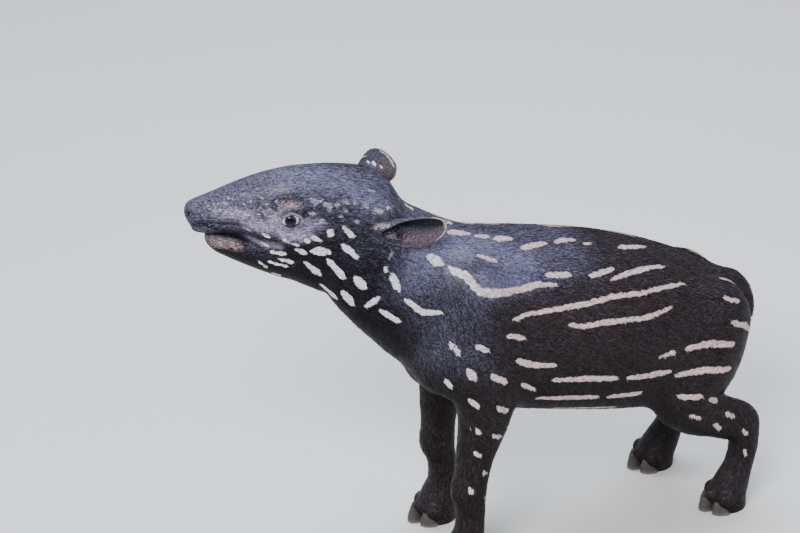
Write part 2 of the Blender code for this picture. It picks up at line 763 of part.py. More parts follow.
def with_added(obj, others):
    """The object with closed forms fused on by one Boolean union."""
    held = cutter_of("added_" + obj.name, others)
    join = obj.modifiers.new("join", "BOOLEAN")
    join.operation = "UNION"
    join.operand_type = "COLLECTION"
    join.collection = held
    applied(obj)
    for other in others:
        bpy.data.objects.remove(other, do_unlink=True)
    bpy.data.collections.remove(held)
    return largest(obj)


def nostril(side):
    """The slit of one nostril, a narrow bent hollow in the nose's end."""
    h, w, v = NOSTRIL
    bpy.ops.mesh.primitive_uv_sphere_add(segments=16, ring_count=10)
    obj = bpy.context.active_object
    tilt = Matrix.Rotation(math.radians(-28 * side), 4, "X")
    sizes = Matrix.Diagonal((*NOSTRIL_HALF, 1.0))
    place = Matrix.Translation((h, side * w, v))
    obj.data.transform(head_matrix() @ place @ tilt @ sizes)
    return obj


def grown(obj, name, by):
    """A copy with its surface moved outwards, to cut a neighbour clear of it."""
    copy = new_object(name, obj.data.copy())
    copy.data.update()
    for vertex in copy.data.vertices:
        vertex.co += vertex.normal * by
    return copy


def paint(obj, *looks):
    obj.data.materials.clear()
    for look in looks:
        obj.data.materials.append(look)


def build():
    clear_scene()
    body = flesh(FLESH_VOXEL, FLESH_SMOOTHING, BROAD_SMOOTHING)
    carve_head(body)
    thinned(body, FLESH_TRIANGLES)
    plates = [slab(*cut) for cut in CUTS]
    plates += [sheet(*cut, side) for cut in (FORE_CUT, HIND_CUT) for side in (1, -1)]
    without(body, plates + [floor_block()])
    nodes = name_pieces(pieces_of(body))

    lids = [lid(side, upper) for side in (1, -1) for upper in (True, False)]
    head = with_added(nodes["head"], lids)
    sockets = [ball("socket", eye_middle(side), EYE_RADIUS + GAP) for side in (1, -1)]
    without(head, sockets + [nostril(side) for side in (1, -1)])
    largest(head)
    for name, side in (("eye_left", 1), ("eye_right", -1)):
        nodes[name] = ball(name, eye_middle(side), EYE_RADIUS)

    for name, shape in (("ear_left", EAR_LEFT), ("ear_right", EAR_RIGHT)):
        made = ear(name, *shape, EAR_THICK)
        without(made, [grown(head, "head_room", GAP), grown(nodes["neck"], "neck_room", GAP)])
        nodes[name] = largest(made)

    for leg in LEGS:
        toes = (*MAIN_TOES, OUTER_TOE) if leg.startswith("fore") else MAIN_TOES
        room = []
        for number, toe in enumerate(toes, 1):
            name = f"hoof_{leg}_{number}"
            room.append(hoof("room", leg, toe, GAP))
            nodes[name] = without(hoof(name, leg, toe), [floor_block()])
        largest(without(nodes[leg], room))

    coat = material("coat", COAT_DARK, COAT_ROUGHNESS)
    inside = material("ear_skin", EAR_INSIDE, COAT_ROUGHNESS)
    eye = material("eye", EYE_DARK, EYE_ROUGHNESS)
    horn = material("hoof_horn", HOOF_HORN, HOOF_ROUGHNESS)
    brown = material("coat_brown", COAT_BROWN, COAT_ROUGHNESS)
    home = bpy.data.collections.new("malayan_tapir_calf")
    bpy.context.scene.collection.children.link(home)
    for name, obj in nodes.items():
        if name.startswith("eye"):
            paint(obj, eye)
        elif name.startswith("hoof"):
            paint(obj, horn)
        elif name.startswith("ear"):
            paint(obj, inside)
        elif name in ("head", "neck"):
            paint(obj, coat)
        else:
            paint(obj, brown)
        obj.data.transform(Matrix.Translation(PLACE))
        for old in list(obj.users_collection):
            old.objects.unlink(obj)
        home.objects.link(obj)


if __name__ == "__main__":
    build()
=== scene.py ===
"""Looks of a Malayan tapir calf: its skin, short coat, markings, eyes and hooves.

Metres, +Z up. The calf faces -X and its left side is -Y. One skin is shaped from the same
forms as the solids and carved finer, and short tufts lie on it along the coat's lie.
"""

import math

import bmesh
import bpy
import numpy as np
from mathutils import Matrix, Vector
from mathutils.bvhtree import BVHTree
from mathutils.kdtree import KDTree


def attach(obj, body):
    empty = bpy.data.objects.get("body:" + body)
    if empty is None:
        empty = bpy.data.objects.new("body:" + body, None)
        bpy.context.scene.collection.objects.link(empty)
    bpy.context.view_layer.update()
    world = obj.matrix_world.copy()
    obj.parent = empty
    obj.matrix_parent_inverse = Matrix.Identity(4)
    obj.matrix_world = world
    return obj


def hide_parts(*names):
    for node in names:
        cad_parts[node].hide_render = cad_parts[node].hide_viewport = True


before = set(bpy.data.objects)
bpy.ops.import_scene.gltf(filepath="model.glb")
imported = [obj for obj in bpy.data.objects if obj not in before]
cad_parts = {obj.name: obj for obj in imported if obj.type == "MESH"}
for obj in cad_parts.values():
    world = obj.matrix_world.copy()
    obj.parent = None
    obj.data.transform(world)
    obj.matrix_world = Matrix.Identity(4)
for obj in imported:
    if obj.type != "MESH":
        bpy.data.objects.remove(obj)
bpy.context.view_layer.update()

PLACE = Vector((0.0816, 0.0, 0.0))  # from the forms' own origin to the model's

# Trunk, one row a section from chest to rump: x, top, bottom, half width
TRUNK = (
    (-0.206, 0.398, 0.306, 0.034),
    (-0.192, 0.420, 0.268, 0.058),
    (-0.165, 0.437, 0.232, 0.080),
    (-0.122, 0.442, 0.205, 0.093),
    (-0.070, 0.433, 0.192, 0.100),
    (-0.010, 0.418, 0.177, 0.105),
    (0.050, 0.401, 0.163, 0.107),
    (0.105, 0.382, 0.154, 0.104),
    (0.160, 0.357, 0.153, 0.096),
    (0.205, 0.332, 0.160, 0.084),
    (0.240, 0.307, 0.174, 0.067),
    (0.262, 0.280, 0.198, 0.042),
)
TRUNK_WIDEST = 0.46
TRUNK_ROUNDNESS = (1.95, 2.25)

# Neck, from inside the trunk to inside the head: x, y, z, half height, half width
NECK = (
    (-0.085, 0.000, 0.332, 0.102, 0.082),
    (-0.140, 0.001, 0.350, 0.100, 0.078),
    (-0.186, 0.005, 0.382, 0.090, 0.068),
    (-0.221, 0.012, 0.412, 0.082, 0.058),
    (-0.249, 0.020, 0.438, 0.073, 0.051),
    (-0.274, 0.028, 0.458, 0.056, 0.041),
)

# The head's own frame: h forward to the snout, w to the calf's left, v up
HEAD_PLACE = Vector((-0.2381, 0.0180, 0.5455))
HEAD_YAW = math.radians(17)
HEAD_ROLL = math.radians(4)
SKULL = (
    (-0.040, -0.052, -0.128, 0.036),
    (-0.022, -0.020, -0.136, 0.043),
    (0.000, -0.004, -0.140, 0.0465),
    (0.030, 0.003, -0.140, 0.0475),
    (0.060, 0.0055, -0.136, 0.0475),
    (0.090, 0.0050, -0.124, 0.0455),
    (0.120, 0.0010, -0.106, 0.0400),
    (0.150, -0.0070, -0.0850, 0.0325),
    (0.172, -0.0150, -0.0770, 0.0275),
    (0.190, -0.0225, -0.0730, 0.0240),
    (0.205, -0.0280, -0.0700, 0.0212),
    (0.216, -0.0325, -0.0670, 0.0188),
    (0.2225, -0.0370, -0.0625, 0.0150),
)
SKULL_WIDEST = 0.42
SKULL_ROUNDNESS = (1.85, 2.2)
JAW = (
    (0.004, -0.085, -0.1660, 0.0320),
    (0.030, -0.085, -0.1740, 0.0370),
    (0.055, -0.085, -0.1720, 0.0385),
    (0.078, -0.085, -0.1610, 0.0380),
    (0.098, -0.085, -0.1500, 0.0360),
    (0.118, -0.083, -0.1425, 0.0335),
    (0.140, -0.080, -0.1325, 0.0290),
    (0.160, -0.077, -0.1225, 0.0250),
    (0.178, -0.074, -0.1125, 0.0215),
    (0.192, -0.0725, -0.1035, 0.0185),
    (0.2010, -0.0725, -0.0925, 0.0130),
)
JAW_WIDEST = 0.55
JAW_ROUNDNESS = (2.4, 2.0)

# Legs down their middle line: x, y, z, fore-and-aft radius, side radius
FORE_LEG = (
    (-0.010, -0.050, 0.350, 0.046, 0.034),
    (-0.022, -0.058, 0.300, 0.046, 0.036),
    (0.010, -0.064, 0.250, 0.044, 0.034),
    (0.006, -0.066, 0.205, 0.034, 0.029),
    (-0.002, -0.066, 0.165, 0.0265, 0.0235),
    (-0.006, -0.066, 0.135, 0.0235, 0.0215),
    (-0.009, -0.066, 0.112, 0.0245, 0.0220),
    (-0.005, -0.066, 0.085, 0.0200, 0.0185),
    (-0.005, -0.066, 0.055, 0.0205, 0.0200),
    (-0.012, -0.066, 0.034, 0.0240, 0.0238),
    (-0.018, -0.066, 0.014, 0.0268, 0.0270),
    (-0.020, -0.066, -0.012, 0.0275, 0.0280),
)
HIND_LEG = (
    (-0.004, -0.040, 0.266, 0.058, 0.036),
    (-0.008, -0.052, 0.238, 0.066, 0.041),
    (-0.026, -0.062, 0.210, 0.062, 0.040),
    (-0.040, -0.068, 0.182, 0.050, 0.034),
    (-0.026, -0.068, 0.156, 0.039, 0.028),
    (0.008, -0.067, 0.134, 0.0305, 0.0230),
    (0.038, -0.066, 0.115, 0.0280, 0.0205),
    (0.042, -0.066, 0.088, 0.0210, 0.0185),
    (0.034, -0.066, 0.058, 0.0200, 0.0195),
    (0.024, -0.066, 0.036, 0.0235, 0.0230),
    (0.015, -0.066, 0.014, 0.0260, 0.0260),
    (0.013, -0.066, -0.012, 0.0265, 0.0268),
)
LEGS = {
    "foreleg_left": (FORE_LEG, -0.128, -1, -0.012),
    "foreleg_right": (FORE_LEG, -0.128, 1, 0.022),
    "hindleg_left": (HIND_LEG, 0.190, -1, 0.020),
    "hindleg_right": (HIND_LEG, 0.190, 1, -0.016),
}
STEP_FROM = 0.300

# Muscles and bones under the skin: middle, radii, pitch in degrees, and both sides or not
BODY_FORMS = (
    ((-0.122, -0.048, 0.352), (0.058, 0.048, 0.090), -20, True),
    ((-0.160, -0.042, 0.296), (0.050, 0.044, 0.054), 20, True),
    ((0.192, -0.042, 0.258), (0.068, 0.048, 0.068), 25, True),
    ((0.138, -0.056, 0.210), (0.044, 0.036, 0.054), 35, True),
    ((-0.158, 0.000, 0.284), (0.040, 0.048, 0.052), 30, False),
)
HEAD_FORMS = (
    ((0.048, 0.0270, -0.098), (0.050, 0.0215, 0.042), -18, True),
    ((0.092, 0.0275, -0.034), (0.030, 0.0160, 0.014), 4, True),
    ((0.062, 0.0290, -0.062), (0.046, 0.0180, 0.018), 10, True),
    ((0.190, 0.0120, -0.0640), (0.030, 0.0115, 0.0085), 6, True),
    ((0.212, 0.0000, -0.0500), (0.0145, 0.0185, 0.0175), 20, False),
    ((0.188, 0.0000, -0.0860), (0.0150, 0.0165, 0.0115), 12, False),
    ((-0.010, 0.0300, -0.0560), (0.024, 0.0165, 0.0220), 0, True),
)
# Tail: x, y, z, radius
TAIL = (
    (0.222, 0.000, 0.292, 0.0230),
    (0.246, 0.000, 0.288, 0.0200),
    (0.264, 0.000, 0.277, 0.0160),
    (0.275, 0.000, 0.262, 0.0128),
    (0.281, 0.000, 0.246, 0.0102),
    (0.2835, 0.000, 0.232, 0.0078),
    (0.2840, 0.000, 0.224, 0.0052),
)

# Ears: root (h, w, v), direction, the way the cup opens, length, share of the full width
EARS = (
    ((-0.010, 0.0400, -0.0700), (-0.920, 0.290, 0.225), (0.24, 0.96, 0.02), 0.079, 0.84),
    ((0.006, -0.0320, -0.0440), (-0.440, -0.870, 0.110), (0.34, 0.10, -0.94), 0.070, 1.0),
)
# Ear sections along its length: share, half width, cup depth, half angle, lean outwards
EAR_SHAPE = (
    (0.00, 0.0130, 0.0130, 150, 0.0000),
    (0.15, 0.0165, 0.0150, 128, 0.0030),
    (0.32, 0.0205, 0.0150, 104, 0.0062),
    (0.52, 0.0228, 0.0125, 92, 0.0082),
    (0.72, 0.0210, 0.0090, 84, 0.0072),
    (0.87, 0.0160, 0.0055, 80, 0.0040),
    (0.96, 0.0095, 0.0028, 80, 0.0015),
    (1.00, 0.0040, 0.0012, 80, 0.0000),
)

EAR_THICKNESS = (0.0009, 0.0013, 0.0005)  # at the tip, and more at the root and at the rim
RIM_WIDTHS = {"rim": 0.0022, "wide_rim": 0.0036}

# Lines carved in each side of the head, the mouth first: points (h, v), depth, half width
HEAD_LINES = (
    (((0.2200, -0.0705), (0.2024, -0.0722), (0.1800, -0.0760), (0.1530, -0.0822), (0.1440, -0.0865)),
     0.0050, 0.0017),
    (((0.2160, -0.0560), (0.1900, -0.0555), (0.1650, -0.0560), (0.1450, -0.0600)), 0.0013, 0.0026),
    (((0.1160, -0.0300), (0.1040, -0.0235), (0.0880, -0.0250)), 0.0012, 0.0020),
    (((0.0050, -0.0900), (0.0080, -0.1150), (0.0230, -0.1420), (0.0420, -0.1600)), 0.0010, 0.0080),
    (((0.1400, -0.0740), (0.1360, -0.0850), (0.1400, -0.0960)), 0.0009, 0.0022),
    (((0.1240, -0.0560), (0.1120, -0.0660), (0.0940, -0.0690), (0.0780, -0.0640)), 0.0008, 0.0022),
)
# Lines carved in each side of the body: points (x, z), depth, half width
BODY_LINES = (
    (((-0.105, 0.235), (-0.078, 0.262), (-0.064, 0.305), (-0.070, 0.350)), 0.0022, 0.0100),
    (((0.090, 0.190), (0.098, 0.222), (0.118, 0.262), (0.140, 0.290)), 0.0022, 0.0110),
    (((-0.215, 0.300), (-0.205, 0.340), (-0.185, 0.375), (-0.165, 0.398)), 0.0018, 0.0070),
)

# Eyes and nostrils, in the head's frame
EYE_PLACE = (0.1010, -0.0465)  # h and v of the ball's middle
EYE_DEPTH = 0.0345  # of the ball's middle from the midline
EYE_RADIUS = 0.0120
EYE_GAP = 0.0002  # between the solid's ball and the visible one
EYE_GAZE = (0.03, 0.19)  # forward and up, for each metre outwards
EYE_OPENING = (0.0110, 0.0088)  # half width and half height between the lids
EYE_CORNERS = (1.55, 1.80)  # the opening's curve ahead and behind, more pointed nearer 1
LID_EDGE = 0.001495  # of a lid's edge over the ball
LID_FOLD = (0.00045, 0.36)  # height of the lids' folds, and their spacing in openings
BALL_COVER = 0.0022  # how far the skin lies inside the ball's face
NOSTRIL = (0.0085, -0.0478)  # w and v of the left nostril
NOSTRIL_HALF = (0.0022, 0.0046)
NOSTRIL_TURN = math.radians(24)
NOSTRIL_DEPTH = 0.0075
SNOUT_WRINKLES = (0.00008, 0.0062)  # height and spacing

# The skin and its coat
SKIN_VOXEL = 0.0023
SKIN_SMOOTHING = 30
BROAD_SMOOTHING = 250  # of the trunk and the tops of the legs, where the forms meet
SKIN_TRIANGLES = 101000  # before the eyes, the snout and the marks are made finer
COAT_DEPTH = 0.0012  # how far the skin lies inside the solids
FLOOR_GAP = 0.0004  # of the lowest skin and tufts over the floor
MARK_NEIGHBOURS = 6  # points of a stroke that are looked at from each point of the skin
MARK_EDGE = 0.19  # how far from an outline its faces are made smaller, in units of its paint
FINEST_EDGE = 0.0023
TUFT_LENGTH = 0.0060
TUFT_WIDTH = 0.00052
TUFT_LIFT = 0.13  # of a tuft off the skin, for each metre along it
TUFT_GAP = 0.0023
TUFT_VERTS = 7
HEAD_TUFTS = (0.82, 0.85)  # shares of the gap and the width
BAKE_RADIUS = 0.0015  # of each tuft's patch on the map
HEAD_PIECE = (-0.012, 0.36)  # h and z above which the head's coat pieces begin
NECK_PIECE = -0.045  # x ahead of which the neck's begin
LEG_PIECE = (0.175, 0.05)  # z below which the legs' begin, and x ahead of which the fore legs' lie

# Toes: ahead and aside of the foot's middle, direction in degrees, size, lift
MAIN_TOES = (
    (0.0175, -0.0182, -24, 0.94, 0.0),
    (0.0255, 0.0000, 0, 1.08, 0.0),
    (0.0175, 0.0182, 24, 0.94, 0.0),
)
OUTER_TOE = (-0.0020, 0.0265, 42, 0.66, 0.0085)
HOOF = (0.0128, 0.0086, 0.0180)  # half length, half width, height
KNUCKLE = ((-0.0050, 0.0, 0.0175), (0.0125, 0.0088, 0.0125))  # place and radii over a hoof

# Camera: the photo's direction, and the scale at the head
CAMERA_TURN = math.radians(25)
CAMERA_RISE = math.radians(28)
CAMERA_AWAY = 5.3
METRES_A_PIXEL = 0.0012
PHOTO_SIZE = (800, 533)
CROWN_PIXEL = (370.0, 165.0)  # where the photo shows the head's own origin
FILM_WIDTH = 36.0  # millimetres

# Studio lights: name, place, target, size, watts, colour
LIGHTS = (
    ("key", (-1.6, -1.8, 2.6), (-0.1, 0, 0.3), (1.3, 1.0), 120, (0.985, 0.99, 1.0)),
    ("sky", (0.4, 0.9, 2.8), (0, 0, 0.3), (2.6, 1.8), 100, (0.80, 0.88, 1.0)),
    ("fill", (1.8, -2.4, 1.2), (0, 0, 0.3), (1.8, 1.2), 12, (1.0, 0.98, 0.96)),
)
ROOM_COLOUR = (0.90, 0.93, 1.0, 1.0)
ROOM_LIGHT = 0.42
FLOOR_REACH = 14.0

# Pale markings of the near side, seen from the camera: points (x, y, half width) in the
# photo's pixels
SEEN_MARKS = (
    ((313, 251.2, 4), (320, 251.2, 4.6), (329, 252.6, 3.8)),
    ((304.3, 261.7, 2), (319.2, 274.1, 4.6)),
    ((327.8, 259.2, 2.2), (342.8, 277, 4.4)),
    ((343.9, 246, 3.2), (356.5, 256.9, 2.3)),
    ((355.4, 278.2, 4.2), (363.4, 286.8, 4.8)),
    ((343.3, 291.9, 3.6), (351.4, 302.8, 5.6)),
    ((320.4, 283.9, 1.8), (335.3, 297.1, 4.4)),
    ((391.5, 274.7, 3.4), (398.4, 289.1, 3.8)),
    ((385.2, 267.3, 1.8), (386.4, 271.8, 1.8)),
    ((366.3, 306.3, 2.6), (377.8, 298.3, 3)),
    ((381.2, 310.9, 2.6), (398.4, 321.2, 3.2)),
    ((406.1, 299.5, 2.4), (421.9, 312.2, 3.2), (441, 312.5, 2.2)),
    ((329.7, 232.2, 3.6), (331.7, 234.2, 3.6)),
    ((343.3, 227.1, 1.6), (352.5, 236.3, 3)),
    ((312.3, 236.8, 2), (319.2, 240.3, 2.4)),
    ((304.6, 240.8, 2.2), (308.6, 241.2, 2.4)),
    ((296, 249.5, 2.2), (305.5, 253.4, 3.4)),
    ((291.7, 243.7, 1.2), (298.6, 245.7, 1.4)),
    ((284.2, 239.7, 1.6), (289.4, 242.6, 1.6)),
    ((269.9, 251.8, 1.5), (284.8, 253.5, 3)),
    ((279, 259.2, 1.2), (292.8, 262.1, 2.4)),
    ((267.6, 261.7, 1.2), (287.1, 266.3, 1.4)),
    ((261.2, 242, 1.6), (268.7, 246.6, 2.3)),
    ((263, 233.7, 1.2), (269.9, 238, 1.4)),
    ((258.9, 261.5, 1.2), (267, 267.8, 1.4)),
    ((272.7, 273.2, 1.2), (280.8, 275.5, 1.5)),
    ((361.5, 157.2, 1), (366, 155.9, 1.1)),
    ((367.2, 160.6, 1), (369, 162.6, 1.1)),
    ((373.4, 161.4, 1.2), (374.6, 165.8, 1.3)),
    ((380.4, 165.2, 1.1), (381.8, 169, 1.2)),
    ((405.3, 205.1, 1), (413.3, 209.7, 1.1)),
    ((420.4, 207.7, 1), (430, 213, 1.2), (437, 216, 1.1)),
    ((443, 219, 1.2), (452, 223, 1.6)),
    ((429.6, 257.1, 4.2), (439.8, 263.3, 4.8)),
    ((479, 255.4, 2.8), (495.6, 260.9, 3.2)),
    ((449, 232.1, 3), (468.4, 233.2, 3.2)),
    ((475.5, 235.7, 2.2), (488.3, 237.2, 2.6)),
    ((494.9, 238.8, 3.4), (510.2, 238.3, 3.4)),
    ((522, 248.2, 2.8), (532, 245.4, 3.2), (546, 243.4, 2.6)),
    ((555, 242.6, 2.4), (564, 239.6, 3), (574, 240, 2.2)),
    ((584, 243.8, 2.2), (591, 243.4, 2.2)),
    ((619, 247.2, 2.8), (644, 246.6, 2.8)),
    ((449.5, 266.8, 2), (455, 271.4, 3.6), (465.3, 275.5, 4), (473.5, 284.7, 3.5),
     (480.6, 291.8, 4), (491.8, 293.4, 4.2), (506, 292.3, 3.4), (522.4, 288.8, 3.2),
     (535.7, 284.7, 2.8), (558, 285.2, 1.8)),
    ((546.5, 274.6, 2.6), (570, 274.8, 3)),
    ((590, 276.4, 2.2), (600, 273, 2.6), (612.5, 268.4, 2.2)),
    ((611, 279.4, 2), (635, 271.4, 2.6), (650, 267.6, 2.2), (664, 266.4, 1.8)),
    ((513, 320, 1.6), (530, 313.5, 2.2), (555, 309.5, 2.4), (584, 304, 2.6), (614.7, 296.4, 2.4),
     (643, 293, 2.3), (665.7, 286.7, 2.2), (684, 283.4, 1.6)),
    ((569, 325, 2), (584, 326.5, 2.4), (604.5, 322.4, 2.5), (625, 320.4, 2.6), (643, 318, 2.2),
     (655.5, 314.3, 2.2), (672, 307, 1.6)),
)
# Fainter ones, where dark hair shows through
FAINT_MARKS = (
    ((311.2, 199.5, 2.2), (318.1, 203, 2.4)),
    ((325.8, 203.8, 3.2), (329.8, 207.8, 3.6)),
    ((336, 203, 2), (336.8, 208, 2)),
    ((343.6, 200.8, 2.2), (347.6, 203, 2.6)),
    ((354, 200.8, 1.8), (355.2, 203, 2)),
    ((364.5, 205, 3), (367.5, 206, 2.8)),
    ((376.9, 210.5, 2.6), (381, 211.8, 2.8)),
    ((343.6, 210, 1.7), (346.4, 211, 1.9)),
    ((341.4, 215, 1.8), (342.2, 218.4, 2)),
    ((354, 220.6, 2.2), (358.2, 221.6, 2.2)),
    ((310, 213.5, 2.4), (313.6, 214.2, 2.6)),
    ((320.6, 220.6, 2.2), (323, 221.6, 2.2)),
    ((368, 189.8, 1.1), (374.3, 192.6, 1.3)),
    ((376, 227, 2.4), (388, 225, 2.8)),
    ((389, 257, 1.2), (394, 249, 1.4)),
    ((242, 226, 1.2), (250, 231, 1.3)),
)
# Painted shade in creases and folds, in the same pixels
FOLD_SHADE_LINES = (
    ((276, 198.6, 2.2), (285, 196.4, 2.8), (294, 196.2, 3), (302, 199.4, 1.8)),
    ((275.4, 199, 2.6), (273.8, 204.6, 3), (276, 210.8, 2.2)),
    ((242.7, 238.6, 1.2), (252.3, 243.4, 1.6), (262.9, 249.1, 1)),
    ((409.5, 247.5, 1), (404.5, 257.5, 1.3), (397.5, 271, 0.8)),
    ((424, 247, 0.5), (419, 257, 0.8), (413, 268, 0.5)),
    ((382.5, 258, 1), (378, 270, 1.6), (371, 283, 1)),
    ((193, 224.6, 1), (208.3, 225.4, 1.2), (219.7, 229.4, 1.2), (235, 231.9, 1), (246.5, 236.7, 0.8)),
    ((206.3, 245.4, 1.6), (215.9, 253, 2.6), (235, 259.8, 3), (252.3, 266.4, 3), (277.1, 276, 3.4),
     (300, 283, 3)),
)
# Pale edge of the far ear
CREAM_LINES = (((379.6, 150.8, 0.9), (386, 154.4, 1.3), (391, 160.4, 1.5), (393.8, 167, 1.3)),)
# Skin that shows rosy through thin hair
ROSY_PATCHES = (
    ((278.5, 210.6, 1.8), (283.5, 205.4, 3), (291.5, 204.4, 2.2), (298, 206.6, 1)),
    ((374.7, 227.1, 2), (386.2, 225, 2.4)),
    ((388.1, 234.8, 1.6), (393.8, 236.7, 1.6)),
    ((206.3, 238, 2.2), (214, 242.8, 4.2), (227.4, 243.6, 4), (240.7, 247.3, 2.4)),
)
# Skin that shows pale mauve through thin hair
PALE_PATCHES = (
    ((272.3, 212.8, 4), (276.1, 226.1, 6), (288.6, 235, 4.6), (303.9, 235, 4), (310.7, 226.1, 2.6)),
    ((246, 222.1, 2), (266.7, 228.1, 4.6)),
    ((217.8, 211.8, 1), (250.4, 215.7, 2)),
    ((248, 237, 0.4), (259, 242.5, 1), (278, 247, 0.6)),
    ((307, 223, 0.4), (320, 225, 0.8)),
)
# Painted sheen, where the wet coat shines most: lighter, bluer colour and more clear film
SHEEN_PATCHES = (
    ((397, 288, 7), (410, 266, 10), (430, 246, 9), (455, 244, 9), (480, 247, 9),
     (508, 262, 7), (530, 264, 4)),
    ((484, 281, 2.4), (505, 283, 2.8), (522, 277, 2.2)),
    ((286, 182, 1), (312, 178, 2), (340, 184, 2), (372, 200, 2.5)),
)
# Each kind of paint: its strokes, and the metres that one unit of its value stands for
PAINTS = {
    "mark": (SEEN_MARKS, 0.004),
    "faint_mark": (FAINT_MARKS, 0.004),
    "dots": ((), 0.0015),
    "fold_shade_line": (FOLD_SHADE_LINES, 0.002),
    "cream": (CREAM_LINES, 0.0015),
    "rosy": (ROSY_PATCHES, 0.006),
    "pale": (PALE_PATCHES, 0.010),
    "sheen": (SHEEN_PATCHES, 0.022),
}
# Spots on the back of the near ear: share of its length, place across from -1 to 1, half width
EAR_SPOTS = ((0.30, -0.25, 0.0016), (0.40, 0.10, 0.0019), (0.53, -0.10, 0.0021), (0.64, 0.22, 0.0017))

# Fine pale dots strewn on the snout: middle and half sizes of each patch in pixels, count
SNOUT_DOTS = (
    ((258, 195.5), (20, 7), 26),
    ((247, 211), (22, 9), 28),
    ((219, 206), (18, 9), 18),
    ((335, 205), (38, 9), 22),
)

# Markings that the photo hides, on each side: points (x, z, half width) in metres
HIDDEN_MARKS = (
    ((-0.046, 0.262, 0.0026), (-0.004, 0.256, 0.0040), (0.040, 0.247, 0.0036)),
    ((0.056, 0.244, 0.0030), (0.096, 0.238, 0.0040), (0.118, 0.236, 0.0026)),
    ((-0.094, 0.300, 0.0036), (-0.070, 0.288, 0.0040), (-0.044, 0.284, 0.0026)),
    ((-0.084, 0.262, 0.0030), (-0.068, 0.250, 0.0034)),
    ((-0.176, 0.334, 0.0030), (-0.168, 0.322, 0.0040)),
    ((-0.146, 0.330, 0.0026), (-0.132, 0.320, 0.0036)),
    ((-0.106, 0.336, 0.0026), (-0.084, 0.328, 0.0034)),
    ((-0.182, 0.286, 0.0026), (-0.176, 0.274, 0.0034)),
    ((0.100, 0.262, 0.0024), (0.122, 0.262, 0.0030)),
    ((0.206, 0.306, 0.0024), (0.228, 0.296, 0.0030)),
    ((-0.136, 0.150, 0.0024), (-0.130, 0.144, 0.0026)),
    ((-0.152, 0.128, 0.0022), (-0.148, 0.120, 0.0024)),
    ((-0.128, 0.108, 0.0020), (-0.126, 0.102, 0.0022)),
    ((0.150, 0.164, 0.0024), (0.164, 0.156, 0.0028)),
    ((0.226, 0.172, 0.0024), (0.236, 0.158, 0.0028)),
    ((0.214, 0.096, 0.0020), (0.220, 0.088, 0.0022)),
    ((0.238, 0.084, 0.0018), (0.240, 0.076, 0.0020)),
    ((-0.060, 0.232, 0.0030), (-0.020, 0.226, 0.0042), (0.020, 0.219, 0.0040)),
    ((0.036, 0.216, 0.0036), (0.078, 0.212, 0.0042)),
    ((-0.030, 0.200, 0.0026), (0.010, 0.193, 0.0036), (0.055, 0.187, 0.0030)),
    ((0.140, 0.262, 0.0030), (0.176, 0.258, 0.0042), (0.214, 0.246, 0.0036)),
    ((0.126, 0.228, 0.0032), (0.168, 0.226, 0.0042), (0.208, 0.214, 0.0032)),
    ((0.130, 0.196, 0.0030), (0.162, 0.190, 0.0040)),
    ((0.176, 0.182, 0.0030), (0.192, 0.170, 0.0036)),
    ((0.212, 0.276, 0.0030), (0.236, 0.262, 0.0036), (0.250, 0.246, 0.0026)),
    ((-0.158, 0.300, 0.0036), (-0.150, 0.286, 0.0044)),
    ((-0.128, 0.286, 0.0030), (-0.108, 0.272, 0.0040)),
    ((-0.154, 0.256, 0.0030), (-0.144, 0.244, 0.0038)),
    ((-0.120, 0.240, 0.0030), (-0.104, 0.230, 0.0034)),
    ((-0.150, 0.214, 0.0028), (-0.140, 0.206, 0.0032)),
    ((-0.124, 0.200, 0.0026), (-0.112, 0.194, 0.0028)),
    ((-0.146, 0.178, 0.0024), (-0.138, 0.172, 0.0026)),
    ((0.206, 0.150, 0.0026), (0.218, 0.140, 0.0028)),
    ((0.188, 0.140, 0.0024), (0.198, 0.128, 0.0026)),
    ((0.232, 0.118, 0.0022), (0.240, 0.108, 0.0024)),
)
# Markings on the rump beside the tail, on each side: points (y, z, half width) in metres
RUMP_MARKS = (
    ((0.042, 0.318, 0.0028), (0.034, 0.300, 0.0034)),
    ((0.044, 0.274, 0.0028), (0.034, 0.254, 0.0034)),
    ((0.046, 0.212, 0.0026), (0.038, 0.192, 0.0030)),
)
PAINT_SEED = 20
STROKE_STEP = 0.9  # pixels between the points of a stroke that the photo shows
HIDDEN_STEP = 0.0016  # metres between those of one that it hides
STROKE_TIP = (0.15, 0.50)  # how far an end reaches on, and its width, in half widths
STROKE_SWELL = 1.08
FAR_SHIFT = 0.003  # how far a stroke on the other side may be moved
FAR_SPACE = 0.0016  # least room between strokes on the other side
CRISP_PAINTS = ("mark", "faint_mark", "dots", "fold_shade_line")  # those that end sharply across a tuft
COAT_VALUES = (
    *PAINTS, "head_part", "leg_part", "brown", "light", "shade", "bare", "ear_inside", "ear_shadow", "ear_rim",
    "warm", "tuft_size", "tuft_share",
)


